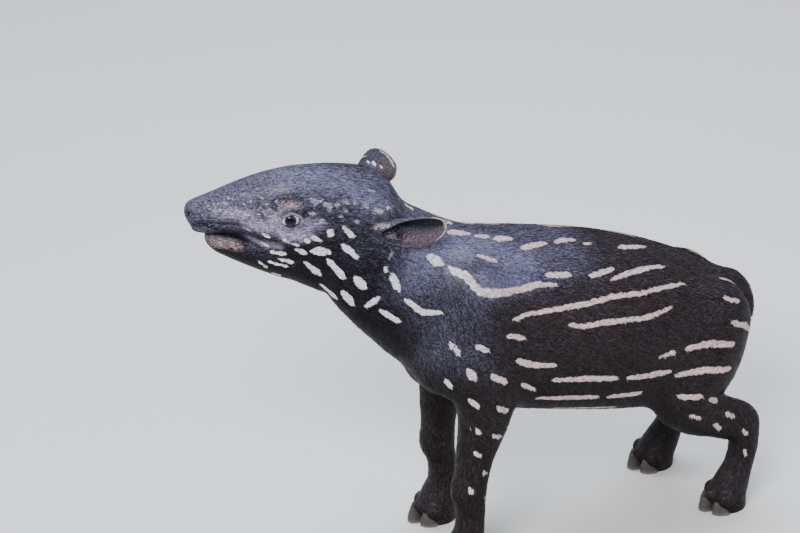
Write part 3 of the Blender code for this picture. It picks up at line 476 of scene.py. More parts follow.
def spread(stations, count):
    """Rows spread evenly along the stations, on smooth curves with no overshoot."""
    rows = np.array(stations, float)
    steps = np.linalg.norm(np.diff(rows[:, :3], axis=0), axis=1)
    at = np.concatenate([[0.0], np.cumsum(steps)])
    wide = steps[:, None]
    slopes = np.diff(rows, axis=0) / wide
    tangents = np.zeros_like(rows)
    same_way = slopes[:-1] * slopes[1:] > 0
    first = 2 * wide[1:] + wide[:-1]
    second = wide[1:] + 2 * wide[:-1]
    with np.errstate(divide="ignore", invalid="ignore"):
        middle = (first + second) / (first / slopes[:-1] + second / slopes[1:])
    tangents[1:-1] = np.where(same_way, middle, 0.0)
    tangents[0], tangents[-1] = slopes[0], slopes[-1]
    where = np.linspace(0.0, at[-1], count)
    k = np.clip(np.searchsorted(at, where, side="right") - 1, 0, len(steps) - 1)
    t = ((where - at[k]) / steps[k])[:, None]
    span = steps[k][:, None]
    return (
        (1 + 2 * t) * (1 - t) ** 2 * rows[k]
        + t * (1 - t) ** 2 * span * tangents[k]
        + t * t * (3 - 2 * t) * rows[k + 1]
        + t * t * (t - 1) * span * tangents[k + 1]
    )


def outline(top, bottom, half_width, widest, roundness, points=40):
    """A section's outline as (across, height) pairs, an egg with its own upper and lower curve."""
    turn = np.linspace(0.0, 2 * math.pi, points, endpoint=False)
    middle = bottom + (top - bottom) * widest
    power = np.where(np.sin(turn) >= 0, 2 / roundness[0], 2 / roundness[1])
    across = half_width * np.sign(np.cos(turn)) * np.abs(np.cos(turn)) ** power
    rise = np.sign(np.sin(turn)) * np.abs(np.sin(turn)) ** power
    height = middle + np.where(rise >= 0, (top - middle) * rise, (middle - bottom) * rise)
    return np.stack([across, height], axis=1)


def new_object(name, mesh):
    obj = bpy.data.objects.new(name, mesh)
    bpy.context.scene.collection.objects.link(obj)
    return obj


def faces_out(mesh):
    """Turns a mesh's faces outwards, its doubles merged first."""
    form = bmesh.new()
    form.from_mesh(mesh)
    bmesh.ops.remove_doubles(form, verts=form.verts, dist=0.000005)
    bmesh.ops.recalc_face_normals(form, faces=form.faces)
    form.to_mesh(mesh)
    form.free()
    return mesh


def loft(name, rings):
    """A closed surface through rings of points, with a flat cap on each end."""
    count = len(rings[0])
    faces = [tuple(range(count))[::-1]]
    for r in range(len(rings) - 1):
        for i in range(count):
            j = (i + 1) % count
            faces.append((r * count + i, r * count + j, (r + 1) * count + j, (r + 1) * count + i))
    faces.append(tuple(range((len(rings) - 1) * count, len(rings) * count)))
    mesh = bpy.data.meshes.new(name)
    mesh.from_pydata(np.concatenate(rings).tolist(), [], faces)
    return new_object(name, faces_out(mesh))


def tube(name, stations, count, points=32):
    """A loft along a line: each row is x, y, z, radius along the body, radius to the side."""
    rows = spread(stations, count)
    middles = rows[:, :3]
    along = np.gradient(middles, axis=0)
    along /= np.linalg.norm(along, axis=1)[:, None]
    turn = np.linspace(0.0, 2 * math.pi, points, endpoint=False)[:, None]
    rings = []
    for middle, way, radii in zip(middles, along, rows[:, 3:]):
        side = np.array((0.0, 1.0, 0.0)) - way[1] * way
        side /= np.linalg.norm(side)
        rings.append(
            middle
            + radii[0] * np.cos(turn) * np.cross(way, side)
            + radii[-1] * np.sin(turn) * side
        )
    return loft(name, rings)


def ellipsoid(name, middle, radii, pitch=0.0):
    bpy.ops.mesh.primitive_uv_sphere_add(segments=32, ring_count=20)
    obj = bpy.context.active_object
    obj.name = name
    turned = Matrix.Translation(middle) @ Matrix.Rotation(math.radians(pitch), 4, "Y")
    obj.data.transform(turned @ Matrix.Diagonal((*radii, 1.0)))
    return obj


def head_matrix():
    """From the head's own h, w, v to the forms' frame."""
    forward = Vector((-math.cos(HEAD_YAW), math.sin(HEAD_YAW), 0.0))
    left = Vector((-math.sin(HEAD_YAW), -math.cos(HEAD_YAW), 0.0))
    level = Matrix((forward, left, Vector((0, 0, 1)))).transposed().to_4x4()
    return Matrix.Translation(HEAD_PLACE) @ level @ Matrix.Rotation(-HEAD_ROLL, 4, "X")


def moved(points, matrix):
    """Points as rows of x, y, z, moved by a matrix."""
    m = np.array(matrix)
    return points @ m[:3, :3].T + m[:3, 3]


def smooth_step(value, start, end):
    t = np.clip((value - start) / (end - start), 0.0, 1.0)
    return t * t * (3 - 2 * t)


def places_of(mesh):
    points = np.empty(len(mesh.vertices) * 3)
    mesh.vertices.foreach_get("co", points)
    return points.reshape(-1, 3)


def normals_of(mesh):
    normals = np.empty(len(mesh.vertices) * 3)
    mesh.vertices.foreach_get("normal", normals)
    return normals.reshape(-1, 3)


def set_places(mesh, points):
    mesh.vertices.foreach_set("co", points.ravel())
    mesh.update()


def store(mesh, name, values, kind="FLOAT"):
    """Keeps a value, or a vector, for each vertex."""
    layer = mesh.attributes.new(name, kind, "POINT")
    layer.data.foreach_set("vector" if kind == "FLOAT_VECTOR" else "value", np.ravel(values))


def kept(mesh, name, size=1):
    layer = mesh.attributes[name]
    values = np.empty(len(mesh.vertices) * size, np.float32)
    layer.data.foreach_get("vector" if size == 3 else "value", values)
    return values.reshape(-1, 3) if size == 3 else values


def tree_of(points):
    tree = KDTree(len(points))
    for k, point in enumerate(points):
        tree.insert(point, k)
    tree.balance()
    return tree


def inside_box(points, low, high):
    """Numbers of the points between two corners."""
    return np.flatnonzero(np.all((points > low) & (points < high), axis=1))


def hump(value, middle, width):
    """1 at the middle and less on both sides of it."""
    return np.exp(-(((value - middle) / width) ** 2))


def blended(first, second, share):
    """Rows between two others, by a share for each row."""
    return first * (1 - share[:, None]) + second * share[:, None]


def fused(name, objects):
    """One object from several overlapping closed ones, left as they lie."""
    form = bmesh.new()
    for obj in objects:
        form.from_mesh(obj.data)
        bpy.data.objects.remove(obj, do_unlink=True)
    mesh = bpy.data.meshes.new(name)
    form.to_mesh(mesh)
    form.free()
    return new_object(name, mesh)


def applied(obj):
    """The object with its modifiers made part of its mesh."""
    graph = bpy.context.evaluated_depsgraph_get()
    mesh = bpy.data.meshes.new_from_object(obj.evaluated_get(graph))
    obj.modifiers.clear()
    old, obj.data = obj.data, mesh
    bpy.data.meshes.remove(old)
    return obj


def weigh(obj, name, weights):
    """A vertex group with a weight for each vertex."""
    group = obj.vertex_groups.new(name=name)
    steps = np.round(np.clip(weights, 0, 1) * 20).astype(int)
    for step in range(1, 21):
        chosen = np.flatnonzero(steps == step)
        if len(chosen):
            group.add(chosen.tolist(), step / 20, "REPLACE")
    return group


def smoothed(obj, iterations, weights=None):
    smooth = obj.modifiers.new("soften", "SMOOTH")
    smooth.iterations = iterations
    if weights is not None:
        weigh(obj, "softened", weights)
        smooth.vertex_group = "softened"
    applied(obj)
    obj.vertex_groups.clear()
    return obj


def sections(name, stations, widest, roundness):
    """A loft through egg-shaped sections, each row place along, top, bottom, half width."""
    rings = []
    for along, top, bottom, half_width in spread(stations, 70):
        flat = outline(top, bottom, half_width, widest, roundness)
        rings.append(np.insert(flat, 0, along, axis=1))
    return loft(name, rings)


def mirrored_forms(name, forms):
    """An ellipsoid for each form, and another across the midline where it is on both sides."""
    made = []
    for middle, radii, pitch, both in forms:
        for side in (1, -1) if both else (1,):
            made.append(ellipsoid(name, (middle[0], side * middle[1], middle[2]), radii, pitch))
    return made


def head_forms():
    """The head's lofts and forms."""
    made = [
        sections("skull_form", SKULL, SKULL_WIDEST, SKULL_ROUNDNESS),
        sections("jaw_form", JAW, JAW_WIDEST, JAW_ROUNDNESS),
        *mirrored_forms("head_form", HEAD_FORMS),
    ]
    for obj in made:
        obj.data.transform(head_matrix())
    return made


def leg_rows(rows, top_x, side, step):
    """A leg's rows in place, with its foot swung by a step."""
    placed = []
    for x, y, z, fore, aside in rows:
        swing = step * min(1.0, max(0.0, (STEP_FROM - z) / STEP_FROM)) ** 1.2
        placed.append((top_x + x + swing, -side * y, z, fore, aside))
    return placed


def toes_of(leg):
    return (*MAIN_TOES, OUTER_TOE) if leg.startswith("fore") else MAIN_TOES


def foot_middle(leg):
    return Vector(leg_rows(*LEGS[leg])[-2][:3])


def toe_place(leg, toe):
    """Where a toe's hoof stands, and the way it points, as a matrix."""
    ahead, aside, turn, _, lift = toe
    middle = foot_middle(leg)
    side = 1 if middle.y > 0 else -1
    where = Matrix.Translation((middle.x - ahead, middle.y + side * aside, lift))
    return where @ Matrix.Rotation(math.radians(turn) * side + math.pi, 4, "Z")


def toe_forms(leg):
    """The rounded ends of a foot's toes, above and behind the hooves."""
    made = []
    for toe in toes_of(leg):
        place, radii = KNUCKLE
        knuckle = ellipsoid("toe_form", place, [radius * toe[3] for radius in radii])
        knuckle.data.transform(toe_place(leg, toe))
        made.append(knuckle)
    return made


def flesh():
    """Body, head and legs as one closed, smoothed surface."""
    forms = [sections("trunk_form", TRUNK, TRUNK_WIDEST, TRUNK_ROUNDNESS), tube("neck_form", NECK, 50)]
    forms.append(tube("tail_form", [(*row, row[3]) for row in TAIL], 30, 20))
    for name, leg in LEGS.items():
        forms.append(tube(name + "_form", leg_rows(*leg), 70))
        forms += toe_forms(name)
    forms += mirrored_forms("muscle_form", BODY_FORMS)
    body = fused("flesh", forms + head_forms())
    remesh = body.modifiers.new("one_skin", "REMESH")
    remesh.mode = "VOXEL"
    remesh.voxel_size = SKIN_VOXEL
    applied(body)
    points = places_of(body.data)
    local = moved(points, head_matrix().inverted())
    off_head = np.clip((-0.012 - local[:, 0]) / 0.03, 0, 1)
    above_legs = np.clip((points[:, 2] - 0.15 - 0.05 * (points[:, 0] < 0)) / 0.06, 0, 1)
    off_tail = np.clip((0.262 - points[:, 0]) / 0.02, 0, 1)
    smoothed(body, BROAD_SMOOTHING, off_head * above_legs * off_tail)
    off_feet = 0.3 + 0.7 * smooth_step(places_of(body.data)[:, 2], 0.030, 0.055)
    return smoothed(body, SKIN_SMOOTHING, off_feet)


def thinned(body):
    """The body's surface made coarser than the head's."""
    points = places_of(body.data)
    local = moved(points, head_matrix().inverted())
    on_head = (local[:, 0] > -0.020) & (points[:, 2] > 0.36)
    on_foot = points[:, 2] < 0.045
    weigh(body, "coarse", np.where(on_head | on_foot, 0.0, 1.0))
    body.data.calc_loop_triangles()
    thin = body.modifiers.new("thin", "DECIMATE")
    thin.ratio = SKIN_TRIANGLES / len(body.data.loop_triangles)
    thin.vertex_group = "coarse"
    applied(body)
    body.vertex_groups.clear()
    return body


def ear_sheet(number, root, direction, opening, length, width):
    """One cupped ear as a closed sheet, and its guide rows: places, shares, arcs and sides."""
    side = 1 if root[1] > 0 else -1
    along = Vector(direction).normalized()
    out = Vector(opening)
    out = (out - along * out.dot(along)).normalized()
    across = along.cross(out)
    rows = spread(EAR_SHAPE, 56)
    rows[:, [1, 4]] *= width
    arcs = np.linspace(-1.0, 1.0, 49)
    grid = np.empty((len(rows), len(arcs), 3))
    for r, (share, half_width, depth, half_angle, lean) in enumerate(rows):
        middle = np.array(Vector(root) + along * (share * length) + across * (side * lean))
        angle = np.radians(half_angle) * arcs[:, None]
        grid[r] = (
            middle + np.array(across) * half_width * np.sin(angle) - np.array(out) * depth * np.cos(angle)
        )
    normal = np.cross(np.gradient(grid, axis=0), np.gradient(grid, axis=1))
    normal /= np.linalg.norm(normal, axis=2)[:, :, None]
    normal *= np.sign(np.sum(normal * -np.array(out), axis=2).sum())
    share = np.repeat(rows[:, :1], len(arcs), axis=1)
    arc = np.repeat(arcs[None, :], len(rows), axis=0)
    to_rim = np.minimum((1 - np.abs(arc)) * 0.020, (1 - share) * length)
    thin, more_at_root, more_at_rim = EAR_THICKNESS
    thick = thin + more_at_root * (1 - share) + more_at_rim * hump(to_rim, 0.0, 0.0016)
    ridges = 0.0006 * np.sin(arc * 9.0) * (1 - share) * smooth_step(share, 0.05, 0.3)
    outer = grid + normal * (thick / 2)[:, :, None]
    inner = grid - normal * (thick / 2 + ridges)[:, :, None]
    wide, tall = len(arcs), len(rows)
    verts = np.concatenate([outer.reshape(-1, 3), inner.reshape(-1, 3)])
    half = wide * tall
    faces = []
    for layer in (0, half):
        for r in range(tall - 1):
            for i in range(wide - 1):
                a = layer + r * wide + i
                faces.append((a, a + 1, a + wide + 1, a + wide))
    edge = list(range(wide)) + [r * wide + wide - 1 for r in range(1, tall)]
    edge += [(tall - 1) * wide + i for i in range(wide - 2, -1, -1)]
    edge += [r * wide for r in range(tall - 2, 0, -1)]
    for a, b in zip(edge, edge[1:] + edge[:1]):
        faces.append((a, b, b + half, a + half))
    mesh = bpy.data.meshes.new(f"ear_{number}")
    mesh.from_pydata(verts.tolist(), [], faces)
    mesh.transform(head_matrix())
    obj = new_object(f"ear_{number}", faces_out(mesh))
    guide = {
        "points": moved(verts, head_matrix()),
        "share": np.concatenate([share.ravel()] * 2),
        "arc": np.concatenate([arc.ravel()] * 2),
        "to_rim": np.concatenate([to_rim.ravel()] * 2),
        "inside": np.concatenate([np.zeros(half), np.ones(half)]),
        "along": np.array(head_matrix().to_3x3() @ along),
    }
    return obj, guide


def with_ears(body, ears):
    """The skin with its ears joined on."""
    for ear in ears:
        join = body.modifiers.new("join", "BOOLEAN")
        join.operation = "UNION"
        join.object = ear
        join.solver = "MANIFOLD"
        applied(body)
        bpy.data.objects.remove(ear, do_unlink=True)
    return body


def refined(body):
    """Smaller faces round the eyes, the mouth and the nose."""
    mesh = body.data
    form = bmesh.new()
    form.from_mesh(mesh)
    form.faces.ensure_lookup_table()
    centres = np.array([face.calc_center_median() for face in form.faces])
    local = moved(centres, head_matrix().inverted())
    eye = np.hypot(local[:, 0] - EYE_PLACE[0], local[:, 2] - EYE_PLACE[1])
    near_eye = (eye < 0.023) & (np.abs(local[:, 1]) > 0.022)
    snout = (local[:, 0] > 0.140) & (local[:, 2] > -0.105) & (local[:, 2] < -0.02)
    chosen = np.flatnonzero(near_eye | snout)
    edges = {edge for k in chosen for edge in form.faces[k].edges}
    bmesh.ops.subdivide_edges(form, edges=list(edges), cuts=1, use_grid_fill=True)
    bmesh.ops.triangulate(form, faces=[face for face in form.faces if len(face.verts) > 4])
    form.to_mesh(mesh)
    form.free()
    return body


def line_distance(flat, line):
    """Distance of each point in a plane to a line of points, and how far along, from 0 to 1."""
    line = spread([(*p, 0.0) for p in line], 30)[:, :2]
    best = np.full(len(flat), 1.0)
    place = np.zeros(len(flat))
    for k, (start, end) in enumerate(zip(line[:-1], line[1:])):
        way = end - start
        t = np.clip((flat - start) @ way / (way @ way), 0.0, 1.0)
        gap = np.linalg.norm(flat - start - t[:, None] * way, axis=1)
        nearer = gap < best
        best[nearer] = gap[nearer]
        place[nearer] = (k + t[nearer]) / (len(line) - 1)
    return best, place


def carve_lines(local, points):
    """How far the carved lines press the surface in, and how much painted shade each point gets from the
    head's narrow lines.
    """
    inward = np.zeros(len(points))
    crease_shade = np.zeros(len(points))
    groups = (
        (local[:, [0, 2]], (local[:, 0] > -0.03) & (local[:, 2] > -0.20), HEAD_LINES),
        (points[:, [0, 2]], (local[:, 0] < -0.01), BODY_LINES),
    )
    for flat, near, lines in groups:
        for number, (line, depth, half_width) in enumerate(lines):
            gap, place = line_distance(flat[near], line)
            mouth = lines is HEAD_LINES and number == 0
            fade = np.clip((1 - place) / 0.15, 0, 1)
            if not mouth:
                fade = fade * np.clip(place / 0.12, 0, 1)
            pressed = np.exp(-((gap / half_width) ** 2)) * fade
            if mouth:
                lips = hump(gap, 0.0038, 0.0020) * fade
                inward[near] -= 0.0007 * lips
            inward[near] += depth * pressed
            # painted shade in the head's narrow creases
            dark = min(1.0, depth / 0.002) * (lines is HEAD_LINES) * (half_width < 0.005)
            crease_shade[near] = np.maximum(crease_shade[near], pressed * dark)
    return inward, crease_shade


def shape_eyes(local):
    """Moves the skin round each eye to its lids, and gives how near each point is to the opening."""
    ring = np.full(len(local), 9.0)
    for side in (1, -1):
        ahead = local[:, 0] - EYE_PLACE[0]
        rise = local[:, 2] - EYE_PLACE[1]
        outside = local[:, 1] * side > 0.020
        height = np.where(rise > 0, EYE_OPENING[1] * 1.04, EYE_OPENING[1] * 0.94)
        bow = np.where(ahead > 0, *EYE_CORNERS)
        radius = (np.abs(ahead / EYE_OPENING[0]) ** bow + np.abs(rise / height) ** bow) ** (1 / bow)
        near = outside & (radius < 2.6)
        flat = np.hypot(ahead, rise)
        edge = flat / np.maximum(radius, 1e-6)
        ball = EYE_DEPTH + np.sqrt(np.maximum(EYE_RADIUS**2 - np.minimum(flat, edge) ** 2, 1e-8))
        margin = ball + LID_EDGE
        sunk = EYE_DEPTH + np.sqrt(np.maximum(EYE_RADIUS**2 - flat**2, 1e-8)) - BALL_COVER
        t = smooth_step(radius, 1.0, 2.1)
        skin = local[:, 1] * side
        lids = margin * (1 - t) + skin * t
        waves = np.cos((radius - 1.12) * 2 * math.pi / LID_FOLD[1])
        folds = LID_FOLD[0] * waves * smooth_step(radius, 1.0, 1.1)
        folds *= 1 - smooth_step(radius, 1.25, 2.2)
        target = np.where(radius < 1.0, sunk, lids + folds)
        step = smooth_step(radius, 0.94, 1.03)
        target = np.where(radius < 1.03, sunk * (1 - step) + (margin + folds) * step, target)
        local[near, 1] = (target * side)[near]
        ring[near] = radius[near]
    return ring


def shape_nose(local):
    """Presses the nostrils in and folds the skin across the snout."""
    pit = np.zeros(len(local))
    ahead = local[:, 0] > 0.196
    for side in (1, -1):
        across = local[:, 1] * side - NOSTRIL[0]
        rise = local[:, 2] - NOSTRIL[1]
        wide = across * math.cos(NOSTRIL_TURN) - rise * math.sin(NOSTRIL_TURN)
        tall = across * math.sin(NOSTRIL_TURN) + rise * math.cos(NOSTRIL_TURN)
        pit += np.exp(-((wide / NOSTRIL_HALF[0]) ** 2) - np.abs(tall / NOSTRIL_HALF[1]) ** 3) * ahead
    local[:, 0] -= NOSTRIL_DEPTH * pit
    on_snout = smooth_step(local[:, 0], 0.135, 0.175) * smooth_step(-local[:, 0], -0.2150, -0.2050)
    upper = smooth_step(local[:, 2], -0.066, -0.050)
    height, spacing = SNOUT_WRINKLES
    along = local[:, 0] * 2 * math.pi / spacing
    waves = np.sin(along + 3.0 * np.sin(local[:, 1] * 60) + 40 * local[:, 2])
    local[:, 2] += height * waves * on_snout * upper
    return pit


def ear_values(points, guides):
    """For each point what its ear's guide says there, and 0 where it lies on no ear."""
    names = ("inside", "rim", "wide_rim", "share", "on_ear", "arc", "left")
    values = {name: np.zeros(len(points)) for name in names}
    values["along"] = np.zeros((len(points), 3))
    for number, guide in enumerate(guides):
        tree = tree_of(guide["points"])
        low, high = guide["points"].min(0) - 0.005, guide["points"].max(0) + 0.005
        for k in inside_box(points, low, high):
            _, found, gap = tree.find(points[k])
            if gap < 0.0040:
                values["on_ear"][k] = 1 - max(0.0, gap - 0.0014) / 0.0026
                values["left"][k] = number == 0
                values["along"][k] = guide["along"]
                for name in ("inside", "arc", "share"):
                    values[name][k] = guide[name][found]
                for name, width in RIM_WIDTHS.items():
                    values[name][k] = math.exp(-((guide["to_rim"][found] / width) ** 2))
    return values


def ear_bowl(points):
    """How much of each point of the head lies in the hollow of the near ear's root, which gets painted
    shade.
    """
    root, direction, opening, *_ = EARS[0]
    to_head = (Matrix.Translation(PLACE) @ head_matrix()).inverted()
    off = moved(points, to_head) - np.array(root)
    along, out = np.array(Vector(direction).normalized()), np.array(Vector(opening).normalized())
    ahead = off @ along
    across = np.linalg.norm(off - ahead[:, None] * along - (off @ out)[:, None] * out, axis=1)
    hollow = smooth_step(ahead, -0.004, 0.004) * (1 - smooth_step(ahead, 0.020, 0.030))
    return hollow * (1 - smooth_step(across, 0.010, 0.018)) * smooth_step(off @ out, -0.020, -0.012)


def build_skin():
    """The whole skin in the forms' frame, with its values for the looks."""
    body = thinned(flesh())
    mesh = body.data
    points, normals = places_of(mesh), normals_of(mesh)
    set_places(mesh, points - normals * COAT_DEPTH)
    sheets = [ear_sheet(number, *ear) for number, ear in enumerate(EARS, 1)]
    with_ears(body, [sheet for sheet, _ in sheets])
    guides = [guide for _, guide in sheets]
    refined(body)
    mesh = body.data

    points = places_of(mesh)
    ears = ear_values(points, guides)
    roots = np.zeros(len(points))
    for root, *_ in EARS:
        middle = head_matrix() @ Vector(root)
        gap = np.linalg.norm(points - np.array(middle), axis=1)
        roots = np.maximum(roots, 1 - smooth_step(gap, 0.016, 0.026))
    smoothed(body, 14, roots * (1 - 0.75 * ears["on_ear"]))
    mesh = body.data

    points, normals = places_of(mesh), normals_of(mesh)
    to_head = head_matrix().inverted()
    local = moved(points, to_head)
    inward, crease_shade = carve_lines(local, points)
    inward *= 1 - ears["on_ear"]
    points -= normals * inward[:, None]
    local = moved(points, to_head)
    ring = shape_eyes(local)
    pit = shape_nose(local)
    lip = smooth_step(local[:, 0], 0.198, 0.212) * smooth_step(-local[:, 2], 0.055, 0.066)
    points = moved(local, head_matrix())
    points[:, 2] = np.maximum(points[:, 2], FLOOR_GAP)
    set_places(mesh, points)
    smoothed(body, 12, lip)
    return body, ears, guides, {"crease_shade": crease_shade, "ring": ring, "pit": pit}


def camera_axes():
    turn, rise = CAMERA_TURN, CAMERA_RISE
    right = Vector((math.cos(turn), -math.sin(turn), 0.0))
    up = Vector((math.sin(turn) * math.sin(rise), math.cos(turn) * math.sin(rise), math.cos(rise)))
    return right, up, right.cross(up)


def camera_place():
    """The camera's middle, from where the photo shows the head's origin."""
    right, up, back = camera_axes()
    crown = HEAD_PLACE + PLACE
    across = crown.dot(right) + (PHOTO_SIZE[0] / 2 - CROWN_PIXEL[0]) * METRES_A_PIXEL
    height = crown.dot(up) - (PHOTO_SIZE[1] / 2 - CROWN_PIXEL[1]) * METRES_A_PIXEL
    return right * across + up * height + back * (crown.dot(back) + CAMERA_AWAY)


def pixel_ray(x, y):
    right, up, back = camera_axes()
    start = camera_place()
    across = (x - PHOTO_SIZE[0] / 2) * METRES_A_PIXEL
    height = (PHOTO_SIZE[1] / 2 - y) * METRES_A_PIXEL
    return start, (right * across + up * height - back * CAMERA_AWAY).normalized()


def strung(points, gap):
    """Rows spread along a line of rows, no further apart than a gap."""
    rows = [points[0]]
    for start, end in zip(points[:-1], points[1:]):
        start, end = np.array(start, float), np.array(end, float)
        steps = max(1, int(math.ceil(np.linalg.norm(end[:2] - start[:2]) / gap)))
        rows += [start + (end - start) * (k + 1) / steps for k in range(steps)]
    return rows


def swelled(points, gap):
    """Rows along a stroke whose ends narrow to a rounded tip."""
    reach, tip = STROKE_TIP
    rows = [np.array(row, float) for row in points]
    for end, inner in ((0, 1), (-1, -2)):
        way = rows[end][:2] - rows[inner][:2]
        way /= max(np.linalg.norm(way), 1e-9)
        rows[end] = np.append(rows[end][:2] + way * rows[end][2] * reach, rows[end][2])
    rows = strung(rows, gap)
    last = max(len(rows) - 1, 1)
    wide = max(row[2] for row in rows)
    length = np.linalg.norm(rows[-1][:2] - rows[0][:2])
    ends = min(0.5, 1.5 * wide / max(length, 1e-9))  # share of the stroke that narrows
    made = []
    for k, row in enumerate(rows):
        from_end = min(k, last - k) / last
        fill = math.sin(min(1.0, from_end / ends) * math.pi / 2)
        made.append((row[0], row[1], row[2] * STROKE_SWELL * (tip + (1 - tip) * fill)))
    return made


def across_body(place, shift):
    """The same place on the calf's other side, which the head's and the neck's turn move."""
    world_head = Matrix.Translation(PLACE) @ head_matrix()
    local = world_head.inverted() @ place
    by_head = world_head @ Vector((local.x + shift[0], -local.y, local.z + shift[1]))
    rows = np.array(NECK)[::-1]
    middle = np.interp(place.x - PLACE.x, rows[:, 0], rows[:, 1])
    by_body = Vector((place.x + shift[0], 2 * middle - place.y, place.z + shift[1]))
    on_head = float(smooth_step(np.array(local.x), -0.090, -0.015))
    return by_body.lerp(by_head, on_head)


class Paint:
    """Strokes laid on the skin from the camera, and again on the calf's other side."""

    def __init__(self, mesh):
        self.tree = BVHTree.FromPolygons(
            [Vector(p) for p in places_of(mesh)], [tuple(face.vertices) for face in mesh.polygons]
        )
        self.draw = np.random.default_rng(PAINT_SEED)
        self.points = {kind: [] for kind in PAINTS}
        self.far = {kind: [] for kind in PAINTS}

    def crowded(self, kind, stroke):
        """Whether a far-side stroke would run into one that is there."""
        there = np.array(self.far[kind] or [(9, 9, 9, 0)])
        for x, y, z, radius in stroke:
            gaps = np.linalg.norm(there[:, :3] - (x, y, z), axis=1) - there[:, 3] - radius
            if gaps.min() < FAR_SPACE:
                return True
        return False

    def seen(self, kind, rows, spaced=True):
        """A stroke given in the photo's pixels."""
        shift = self.draw.uniform(-FAR_SHIFT, FAR_SHIFT, 2)
        grow = self.draw.uniform(0.9, 1.1)
        other = []
        for x, y, half_width in swelled(rows, STROKE_STEP):
            place, _, _, _ = self.tree.ray_cast(*pixel_ray(x, y))
            if place is None:
                continue
            radius = half_width * METRES_A_PIXEL
            self.points[kind].append((*place, radius))
            there, _, _, gap = self.tree.find_nearest(across_body(place, shift))
            if gap < 0.012 and kind != "cream":
                other.append((*there, radius * grow))
        if other and not (spaced and self.crowded(kind, other)):
            self.far[kind] += other

    def hidden(self, kind, rows, from_tail=False):
        """A stroke given in metres from the side, or from the tail's end, laid on both sides."""
        for side in (-1, 1):
            shift = self.draw.uniform(-FAR_SHIFT, FAR_SHIFT, 2) * (side > 0)
            for along, z, radius in swelled(rows, HIDDEN_STEP):
                if from_tail:
                    start, way = (0.6, side * (along + shift[0]), z + shift[1]), (-1, 0, 0)
                else:
                    start, way = (along + PLACE.x + shift[0], side * 0.3, z + shift[1]), (0, -side, 0)
                place, _, _, _ = self.tree.ray_cast(Vector(start), Vector(way))
                if place is not None:
                    self.points[kind].append((*place, radius))

    def on_ear(self, kind, guide):
        """The spots on the back of the near ear."""
        outside = np.flatnonzero(guide["inside"] == 0)
        for share, arc, radius in EAR_SPOTS:
            off = np.hypot(guide["share"][outside] - share, guide["arc"][outside] - arc)
            place = guide["points"][outside[off.argmin()]] + np.array(PLACE)
            self.points[kind].append((*place, radius))


def painted(mesh, guides):
    """Every kind of paint as points on the skin with half widths."""
    paint = Paint(mesh)
    for kind, (strokes, _) in PAINTS.items():
        for rows in strokes:
            paint.seen(kind, rows, kind in ("mark", "faint_mark"))
    for (x, y), (half_x, half_y), count in SNOUT_DOTS:
        for _ in range(count):
            dx, dy = paint.draw.uniform(-1, 1, 2)
            half_width = paint.draw.uniform(0.5, 1.0)
            long = paint.draw.uniform(0.3, 1.8)
            at = (x + dx * half_x, y + dy * half_y)
            paint.seen("dots", ((*at, half_width), (at[0] + long, at[1] + 0.2 * long, half_width)), False)
    for rows in HIDDEN_MARKS:
        paint.hidden("mark", rows)
    for rows in RUMP_MARKS:
        paint.hidden("mark", rows, from_tail=True)
    paint.on_ear("mark", guides[0])
    return {kind: np.array(paint.points[kind] + paint.far[kind]) for kind in PAINTS}


def paint_values(points, strokes, unit):
    """How far inside a stroke each point lies, in units of so many metres, -2 where far outside."""
    tree = tree_of(strokes[:, :3])
    values = np.full(len(points), -2.0)
    reach = 2 * unit + strokes[:, 3].max()
    low, high = strokes[:, :3].min(0) - reach, strokes[:, :3].max(0) + reach
    for k in inside_box(points, low, high):
        for _, found, gap in tree.find_n(points[k], MARK_NEIGHBOURS):
            values[k] = max(values[k], (strokes[found][3] - gap) / unit)
    return np.clip(values, -2.0, 1.0)


def finer_at_marks(body, strokes, unit):
    """Smaller faces where a marking ends, so that its outline comes out smooth."""
    mesh = body.data
    for _ in range(2):
        values = paint_values(places_of(mesh), strokes, unit)
        form = bmesh.new()
        form.from_mesh(mesh)
        long_edges = set()
        for face in form.faces:
            near = [values[vert.index] for vert in face.verts]
            if min(near) < MARK_EDGE and max(near) > -MARK_EDGE:
                long_edges.update(edge for edge in face.edges if edge.calc_length() > FINEST_EDGE)
        bmesh.ops.subdivide_edges(form, edges=list(long_edges), cuts=1, use_grid_fill=True)
        bmesh.ops.triangulate(form, faces=form.faces[:])
        form.to_mesh(mesh)
        form.free()


def slope_of(mesh, values):
    """Which way, and how fast per metre, a value rises along the surface at each vertex."""
    mesh.calc_loop_triangles()
    corners = np.empty(len(mesh.loop_triangles) * 3, int)
    mesh.loop_triangles.foreach_get("vertices", corners)
    corners = corners.reshape(-1, 3)
    a, b, c = (places_of(mesh)[corners[:, k]] for k in range(3))
    normal = np.cross(b - a, c - a)
    area = np.maximum(np.linalg.norm(normal, axis=1), 1e-12)[:, None]
    rise = (
        values[corners[:, :1]] * np.cross(normal, c - b)
        + values[corners[:, 1:2]] * np.cross(normal, a - c)
        + values[corners[:, 2:]] * np.cross(normal, b - a)
    ) / area
    slope, weight = np.zeros((len(values), 3)), np.zeros(len(values))
    for k in range(3):
        np.add.at(slope, corners[:, k], rise)
        np.add.at(weight, corners[:, k], area[:, 0])
    return slope / np.maximum(weight, 1e-12)[:, None]


def level_way(ahead, rise):
    """Ways that go ahead and up or down and not sideways, one for each value of the rise."""
    return np.stack([np.full(len(rise), float(ahead)), np.zeros(len(rise)), rise], axis=1)


